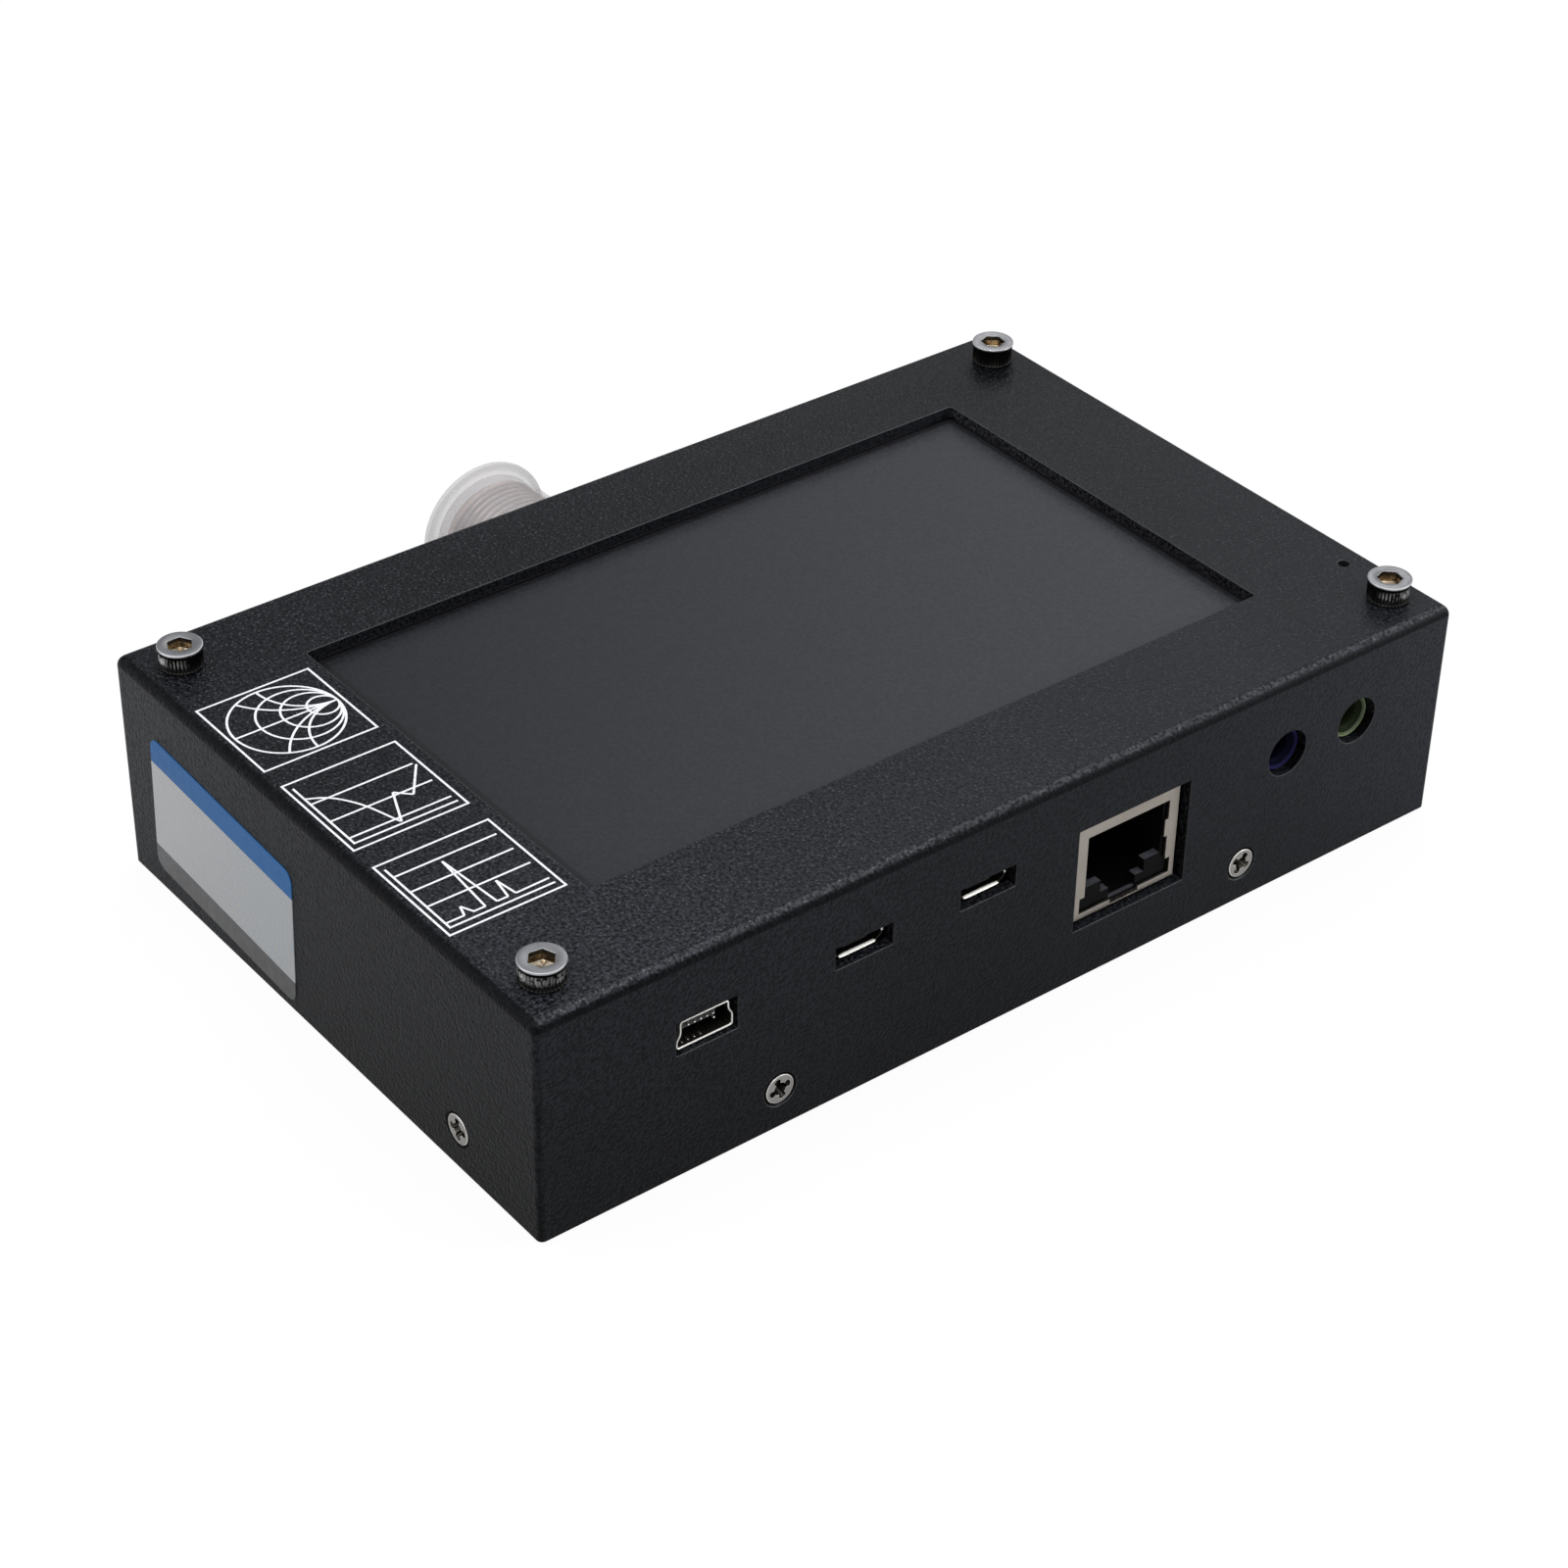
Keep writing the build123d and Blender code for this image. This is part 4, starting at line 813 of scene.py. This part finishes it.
def graph(cx, cy, rules, curve):
    """A framed graph: two axes at the left and the foot, ruled lines and a curve."""
    left, right, foot, head = cx - 6.85, cx + 7.0, cy - 6.5, cy + 6.55
    lines = [square(cx, cy), ribbon([(left, head), (left, foot), (right, foot)])]
    lines += [ribbon([(left + 0.15, cy + y), (right - 0.15, cy + y)]) for y in rules]
    return lines + [ribbon(run) for run in straight_runs([(cx + x, cy + y) for x, y in curve])]


def smooth_line(points, steps=8):
    """A smooth run through points."""
    path = []
    for i in range(len(points) - 1):
        p0, p1 = Vector(points[max(i - 1, 0)]), Vector(points[i])
        p2, p3 = Vector(points[i + 1]), Vector(points[min(i + 2, len(points) - 1)])
        for k in range(steps):
            t = k / steps
            path.append(tuple(0.5 * (2 * p1 + (p2 - p0) * t + (2 * p0 - 5 * p1 + 4 * p2 - p3) * t * t
                                     + (3 * p1 - p0 - 3 * p2 + p3) * t ** 3)))
    return path + [points[-1]]


def panel_symbols():
    """The three diagrams left of the screen, one behind the other."""
    lines = impedance_chart(SYMBOL_X, SYMBOL_YS[0])
    lines += graph(SYMBOL_X, SYMBOL_YS[1], (2.7, -1.4, -5.35), smooth_line(DIP) + AFTER_DIP)
    lines += graph(SYMBOL_X, SYMBOL_YS[2], (4.8, 1.4, -1.9), PEAKS)
    raised = [([(x, y, z + i * INK_STEP) for x, y, z in verts], faces)
              for i, (verts, faces) in enumerate(lines)]
    make("panel_symbols", *joined(raised), INK, "label_film")


# ---------------------------------------------------------------- label
LABEL_Y = 21.5
LABEL_Z = 11.9
LABEL_TURN = 3.2                # degrees
LABEL_CORNER = 1.9


def side_label():
    """A film with eased corners, a little turned; its UV layer is its flat layout in millimetres."""
    turn = math.radians(LABEL_TURN)
    hx, hy = LABEL[0] / 2, LABEL[1] / 2
    outline = rounded_outline([(-hx, -hy), (hx, -hy), (hx, hy), (-hx, hy)], LABEL_CORNER, 8)
    rings, flat = [], []
    for ring, proud in ((outline, 0.0), (outline, 0.07), (inset(outline, 0.05), 0.11)):
        flat += ring
        rings.append([(-X1 - proud, LABEL_Y - (a * math.cos(turn) + b * math.sin(turn)),
                       LABEL_Z - a * math.sin(turn) + b * math.cos(turn)) for a, b in ring])
    film = loft(rings, end=True)
    piece = make("side_label", *film, MATERIALS["label_film"], "label_film", replaces=("label",))
    layer = piece.data.uv_layers.new(name="label")
    for loop in piece.data.loops:
        layer.data[loop.index].uv = flat[loop.vertex_index]


# ---------------------------------------------------------------- aerial socket and its dust cap
BACKWARDS = ((1, 0, 0), (0, 0, -1), (0, 1, 0))
AERIAL_AXIS = (COAX[0], 0, COAX[1])
AERIAL_STEPS = 96


def threaded(low, high, depth=0.62, pitch=1.058, per_turn=8):
    """Rows of a right-hand V thread, faded out at both ends."""
    rows = []
    count = int((high - low) / pitch * per_turn)
    for i in range(count + 1):
        h = low + (high - low) * i / count
        fade = min(1.0, (h - low) / pitch, (high - h) / pitch)

        def radius(a, h=h, fade=fade):
            t = (h / pitch - a / (2 * math.pi)) % 1.0
            return COAX_THREAD_R - 0.02 - depth * fade * abs(2 * t - 1)
        rows.append((radius, h))
    return rows


def coax_socket():
    """The socket's body: its stub in the wall, the flange, the thread, the mouth and the bore."""
    bore, bore_end = COAX_BORE[0], COAX_END - COAX_BORE[1]
    flange, flange_end = COAX_FLANGE[0], Y1 + COAX_FLANGE[1]
    rows = [(bore, 37.5), (7.6, 37.5), (7.88, 37.8), (7.88, Y1)]
    rows += [(flange - 0.2, Y1 + 0.02), (flange, Y1 + 0.2), (flange, flange_end - 0.25),
             (flange - 0.2, flange_end - 0.02), (COAX_THREAD_R, flange_end)]
    rows += threaded(flange_end + 0.15, COAX_END - 0.7)
    rows += [(7.8, COAX_END - 0.65), (7.35, COAX_END), (4.7, COAX_END), (bore, COAX_END - 0.3),
             (bore, bore_end), (1.5, bore_end)]
    make("coax_socket", *lathe(rows, AERIAL_AXIS, BACKWARDS, AERIAL_STEPS, False), MATERIALS["nickel_brass"],
         "nickel_brass", replaces=("n_body",), smooth=40)


def dust_cap():
    """Pull-off cap: a thin skirt and a flanged, closed far end that hides a little more."""
    s, e = CAP_START, CAP_END
    skirt = [(8.12, s + 0.05), (8.18, s), (8.42, s), (8.49, s + 0.07), (8.5, s + 0.35)]
    flange = [(8.5, e - 1.15), (8.56, e - 0.95), (8.75, e - 0.82), (9.2, e - 0.8), (9.42, e - 0.76),
              (9.5, e - 0.6), (9.5, e - 0.25), (9.43, e - 0.08), (9.25, e)]
    far_end = [(7.3, e), (7.1, e - 0.12), (6.8, e - 0.18), (0.05, e - 0.18)]
    inside = [(0.05, e - 0.95), (7.8, e - 0.98), (8.02, e - 1.1), (8.1, e - 1.35), (8.1, s + 0.45),
              (8.12, s + 0.05)]
    mesh = lathe(skirt + flange + far_end + inside, AERIAL_AXIS, BACKWARDS, AERIAL_STEPS, False)
    make("pull_cap", *mesh, [MATERIALS["cap_plastic"], CAP_RIM], "cap_plastic", body="dust_cap",
         replaces=("dust_cap",), indices=banded([0] * 5 + [1] * 12 + [0] * 6, AERIAL_STEPS), smooth=40)


# ---------------------------------------------------------------- front sockets
MINI_FRONT = 0.4 - Y1           # where each kind of socket begins, a little behind the case's front
MICRO_FRONT = 1.25 - Y1
JACK_FRONT = 1.2 - Y1
FORWARDS = ((1, 0, 0), (0, 0, 1), (0, -1, 0))


def mini_shell():
    """The mini-B shell with its stepped outline, a painted highlight on its mouth and painted shade inside.
    """
    corners = [(-3.4, 0.0), (3.4, 0.0), (3.42, -1.25), (3.95, -2.0),
               (3.95, -3.8), (-3.95, -3.8), (-3.95, -2.6), (-3.4, -1.85)]
    outline = rounded_outline(corners, 0.5)
    tube = shell_tube(outline, 0.28, MINI_FRONT, MINI_FRONT + 9.2, MINI_X, BOARD_Z, 0.14)
    make("mini_shell", *tube, [NICKEL_HIGHLIGHT, SHADED_NICKEL], "nickel_shell", replaces=("mini_usb_shell",),
         indices=banded([0] * 5 + [1], len(outline)))


def mini_contacts_and_glints():
    """Five contact tips as painted highlights in slots of painted shade, a painted glint at the right and
    four painted reflections on the floor.
    """
    pitch = 0.85
    y = MINI_FRONT + 1.25
    z = BOARD_Z - 1.62
    slots, tips = [], []
    for i in range(5):
        x = MINI_X + (i - 2) * pitch
        slots.append(brick(x - 0.25, x + 0.25, y - 0.02, y + 0.3, z - 0.27, z + 0.25, 0.01))
        tips.append(brick(x - 0.16, x + 0.16, y - 0.55, y + 0.3, z - 0.10, z + 0.14, 0.08))
    tips.append(brick(MINI_X + 1.70, MINI_X + 2.02, y - 0.5, y + 0.4, z - 0.82, z - 0.56, 0.08))
    for i in range(4):
        x = MINI_X - 2.75 + i * pitch
        tips.append(brick(x - 0.07, x + 0.07, y - 0.75, y - 0.25, BOARD_Z - 3.54, BOARD_Z - 3.36, 0.03))
    make("mini_slot_shade", *joined(slots), MATERIALS["black_plastic"], "black_plastic")
    make("mini_contacts_and_glints", *joined(tips), NICKEL_HIGHLIGHT, "gold_contact")


def lip(x0, x1, y, z, rise, run):
    """A strip along X that slopes up and back from its front edge, with rounded ends."""
    rings = []
    for share, pinch in ((0.0, 0.35), (0.04, 0.15), (0.12, 0.0), (0.88, 0.0), (0.96, 0.15), (1.0, 0.35)):
        x = x0 + (x1 - x0) * share
        low, high = pinch / 2, 1 - pinch / 2
        front = [(x, y + run * t + sink, z + rise * t - sink)
                 for t, sink in ((low, 0.0), ((low + high) / 2, -0.03), (high, 0.0))]
        back = [(x, y + run * t + 0.1, z + rise * t - drop) for t, drop in ((high, 0.12), (low, 0.06))]
        rings.append(front + back)
    return loft(rings, True, True)


def micro_shells():
    """Micro sockets in painted shade, each with its turned-down lip as a painted highlight and a painted
    glint in one corner.
    """
    corners = [(-3.75, 0.0), (3.75, 0.0), (3.75, -1.65), (2.55, -2.45), (-2.55, -2.45), (-3.75, -1.65)]
    outline = rounded_outline(corners, 0.4)
    tubes, lip_highlights = [], []
    for x in MICRO_XS:
        tubes.append(shell_tube(outline, 0.32, MICRO_FRONT, MICRO_FRONT + 5.4, x, BOARD_Z))
        lip_highlights.append(lip(x - 2.75, x + 2.5, MICRO_FRONT - 0.2, BOARD_Z - 2.20, 0.31, 0.36))
        # A small slope in the corner that is only a painted glint.
        lip_highlights.append(lip(x + 3.34, x + 3.70, MICRO_FRONT - 0.10, BOARD_Z - 1.1, 0.55, 0.2))
    make("micro_shells", *joined(tubes), SHADED_NICKEL, "nickel_shell",
         replaces=("micro_usb_shell_left", "micro_usb_shell_right"))
    make("micro_lip_highlights", *joined(lip_highlights), NICKEL_HIGHLIGHT, "nickel_shell", smooth=60)


def jack_barrels():
    """Coloured collars: a rounded rim, then a shaded dish down to the bore."""
    steps = 64
    rim = [(2.95, -4.0), (2.95, -0.24), (2.90, -0.08), (2.78, 0.0), (2.64, 0.0)]
    dish = [(2.50, -0.08), (2.38, -0.24), (2.28, -0.5), (1.86, -0.8)]
    bore = [(1.8, -0.86), (1.8, -4.0)]
    jacks = (("jack_blue", "line_in_barrel"), ("jack_green", "line_out_barrel"))
    for (name, replaced), x in zip(jacks, JACK_XS):
        mesh = lathe(rim + dish + bore, (x, JACK_FRONT, BOARD_Z - JACK_DROP), FORWARDS, steps, False)
        make(name + "_collar", *mesh, [MATERIALS[name], HALF_SHADED[name], SHADED[name]], name,
             replaces=(replaced,), indices=banded([0] * 4 + [1] * 2 + [2] * 4, steps), smooth=50)


# ---------------------------------------------------------------- carried-over nodes
OWN_LOOK = {"rj45_insert": LEDGE_BLACK, "rj45_shield": FRAME_NICKEL, "mini_usb_insert": TONGUE_GREY}
NODE_SMOOTH = 28                # degrees


def dress_nodes():
    """The solids' nodes: each gets its slot's material or a look of its own, and smooth shading."""
    slots = {s["node"]: s["material_slot"] for s in frame["record"]["subparts"]}
    for name, node in nodes.items():
        node.data.materials.clear()
        node.data.materials.append(OWN_LOOK.get(name) or MATERIALS[slots[name]])
        node.data.polygons.foreach_set("use_smooth", [True] * len(node.data.polygons))
        node.data.set_sharp_from_angle(angle=math.radians(NODE_SMOOTH))


# ---------------------------------------------------------------- stage, light and camera, in metres
DOME_LOW = 0.03
DOME_TOP = 2.0
DOME_POWER = 2.2
DOME_COLOUR = (0.96, 0.98, 1.0, 1)
MIRRORED_WHITE = 0.35           # how much of the white surroundings glossy rays see
FLOOR_REACH = 4.0
FLOOR_DROP = 0.0003             # below the object, so that their faces don't meet
FLOOR_COLOUR = (0.50, 0.50, 0.50, 1)
FLOOR_GLOW = 1.08
FLOOR_WHITE = 0.86              # the glow's share of the floor; the rest keeps the shadow
LIGHTS = (                      # name, place, size and power
    ("back_light", (0.42, 0.37, 0.42), (0.3, 0.3), 0.6),
    ("right_light", (0.30, -0.30, 0.15), (0.2, 0.2), 0.5),
    ("rim_light", (-0.32, -0.40, 0.75), (0.15, 0.15), 0.85),
    ("left_light", (-0.75, 0.20, 0.30), (0.6, 0.4), 1.6),
)
LIGHTS_AIM = (0, 0, 0.01)
CAMERA_PLACE = (-0.23327, -0.29208, 0.27228)
CAMERA_TURN = (-38.488, 35.329, 1.094)      # azimuth, elevation and roll in degrees
CAMERA_LENS = 83.78             # in millimetres, as the sensor's width
SENSOR_WIDTH = 36.0


def blended(tree, out, share, plain, seen):
    """Two shaders mixed by a share and put on an output."""
    mix = tree.nodes.new("ShaderNodeMixShader")
    tree.links.new(share, mix.inputs[0])
    tree.links.new(plain.outputs[0], mix.inputs[1])
    tree.links.new(seen.outputs[0], mix.inputs[2])
    tree.links.new(mix.outputs[0], out.inputs[0])


def chain(tree, operation, a, b):
    """One math node on a socket and a socket or number."""
    n = tree.nodes.new("ShaderNodeMath")
    n.operation = operation
    tree.links.new(a, n.inputs[0])
    if isinstance(b, bpy.types.NodeSocket):
        tree.links.new(b, n.inputs[1])
    else:
        n.inputs[1].default_value = b
    return n.outputs[0]


def seen_directly(tree):
    """1 for camera and transmission rays, and less for glossy ones, so that metal shows some of the white."""
    path = tree.nodes.new("ShaderNodeLightPath")
    straight = chain(tree, "MAXIMUM", path.outputs["Is Camera Ray"], path.outputs["Is Transmission Ray"])
    mirrored = chain(tree, "MULTIPLY", path.outputs["Is Glossy Ray"], MIRRORED_WHITE)
    return chain(tree, "MAXIMUM", straight, mirrored)


def floor():
    """A pale floor that looks white and keeps the object's soft shadow."""
    mesh = bpy.data.meshes.new("floor")
    r = FLOOR_REACH
    mesh.from_pydata([(-r, -r, 0), (r, -r, 0), (r, r, 0), (-r, r, 0)], [], [(0, 1, 2, 3)])
    piece = bpy.data.objects.new("floor", mesh)
    piece.location.z = -FLOOR_DROP
    scene.collection.objects.link(piece)
    mat = bpy.data.materials.new("pale_floor")
    mat.use_nodes = True
    tree = mat.node_tree
    tree.nodes.clear()
    out = tree.nodes.new("ShaderNodeOutputMaterial")
    paint = tree.nodes.new("ShaderNodeBsdfDiffuse")
    paint.inputs["Color"].default_value = FLOOR_COLOUR
    glow = tree.nodes.new("ShaderNodeEmission")
    glow.inputs["Strength"].default_value = FLOOR_GLOW
    blended(tree, out, chain(tree, "MULTIPLY", seen_directly(tree), FLOOR_WHITE), paint, glow)
    mesh.materials.append(mat)


def world_light():
    """White where it is seen; as light, a studio dome that is bright overhead and dark at the horizon."""
    world = bpy.data.worlds.new("studio")
    world.use_nodes = True
    tree = world.node_tree
    tree.nodes.clear()
    out = tree.nodes.new("ShaderNodeOutputWorld")
    dome = tree.nodes.new("ShaderNodeBackground")
    white = tree.nodes.new("ShaderNodeBackground")
    dome.inputs["Color"].default_value = DOME_COLOUR
    apart = tree.nodes.new("ShaderNodeSeparateXYZ")
    tree.links.new(tree.nodes.new("ShaderNodeTexCoord").outputs["Generated"], apart.inputs[0])
    up = chain(tree, "MAXIMUM", apart.outputs["Z"], 0.0)
    glow = chain(tree, "MULTIPLY", chain(tree, "POWER", up, DOME_POWER), DOME_TOP)
    tree.links.new(chain(tree, "ADD", glow, DOME_LOW), dome.inputs["Strength"])
    blended(tree, out, seen_directly(tree), dome, white)
    scene.world = world


def lamp(name, place, size, power):
    """A flat rectangular light that looks at the object."""
    data = bpy.data.lights.new(name, "AREA")
    data.shape = "RECTANGLE"
    data.size, data.size_y = size
    data.energy = power
    lamp_object = bpy.data.objects.new(name, data)
    scene.collection.objects.link(lamp_object)
    lamp_object.location = place
    toward = Vector(LIGHTS_AIM) - Vector(place)
    lamp_object.rotation_euler = toward.to_track_quat("-Z", "Y").to_euler()


def camera():
    """The photo's camera, fitted to the edges of the case."""
    data = bpy.data.cameras.new("camera")
    data.lens = CAMERA_LENS
    data.sensor_width = SENSOR_WIDTH
    data.clip_start = 0.01
    ob = bpy.data.objects.new("camera", data)
    scene.collection.objects.link(ob)
    az, el, roll = (math.radians(a) for a in CAMERA_TURN)
    back = Vector((math.sin(az) * math.cos(el), -math.cos(az) * math.cos(el), math.sin(el)))
    side = Vector((0, 0, 1)).cross(back).normalized()
    right = side * math.cos(roll) + back.cross(side) * math.sin(roll)
    turned = Matrix((right, back.cross(right), back)).transposed().to_4x4()
    ob.matrix_world = Matrix.Translation(CAMERA_PLACE) @ turned
    scene.camera = ob


dress_nodes()
cap_screws()
side_screws()
panel_symbols()
side_label()
coax_socket()
dust_cap()
mini_shell()
mini_contacts_and_glints()
micro_shells()
jack_barrels()

floor()
world_light()
for light in LIGHTS:
    lamp(*light)
camera()
scene.view_settings.view_transform = "Standard"
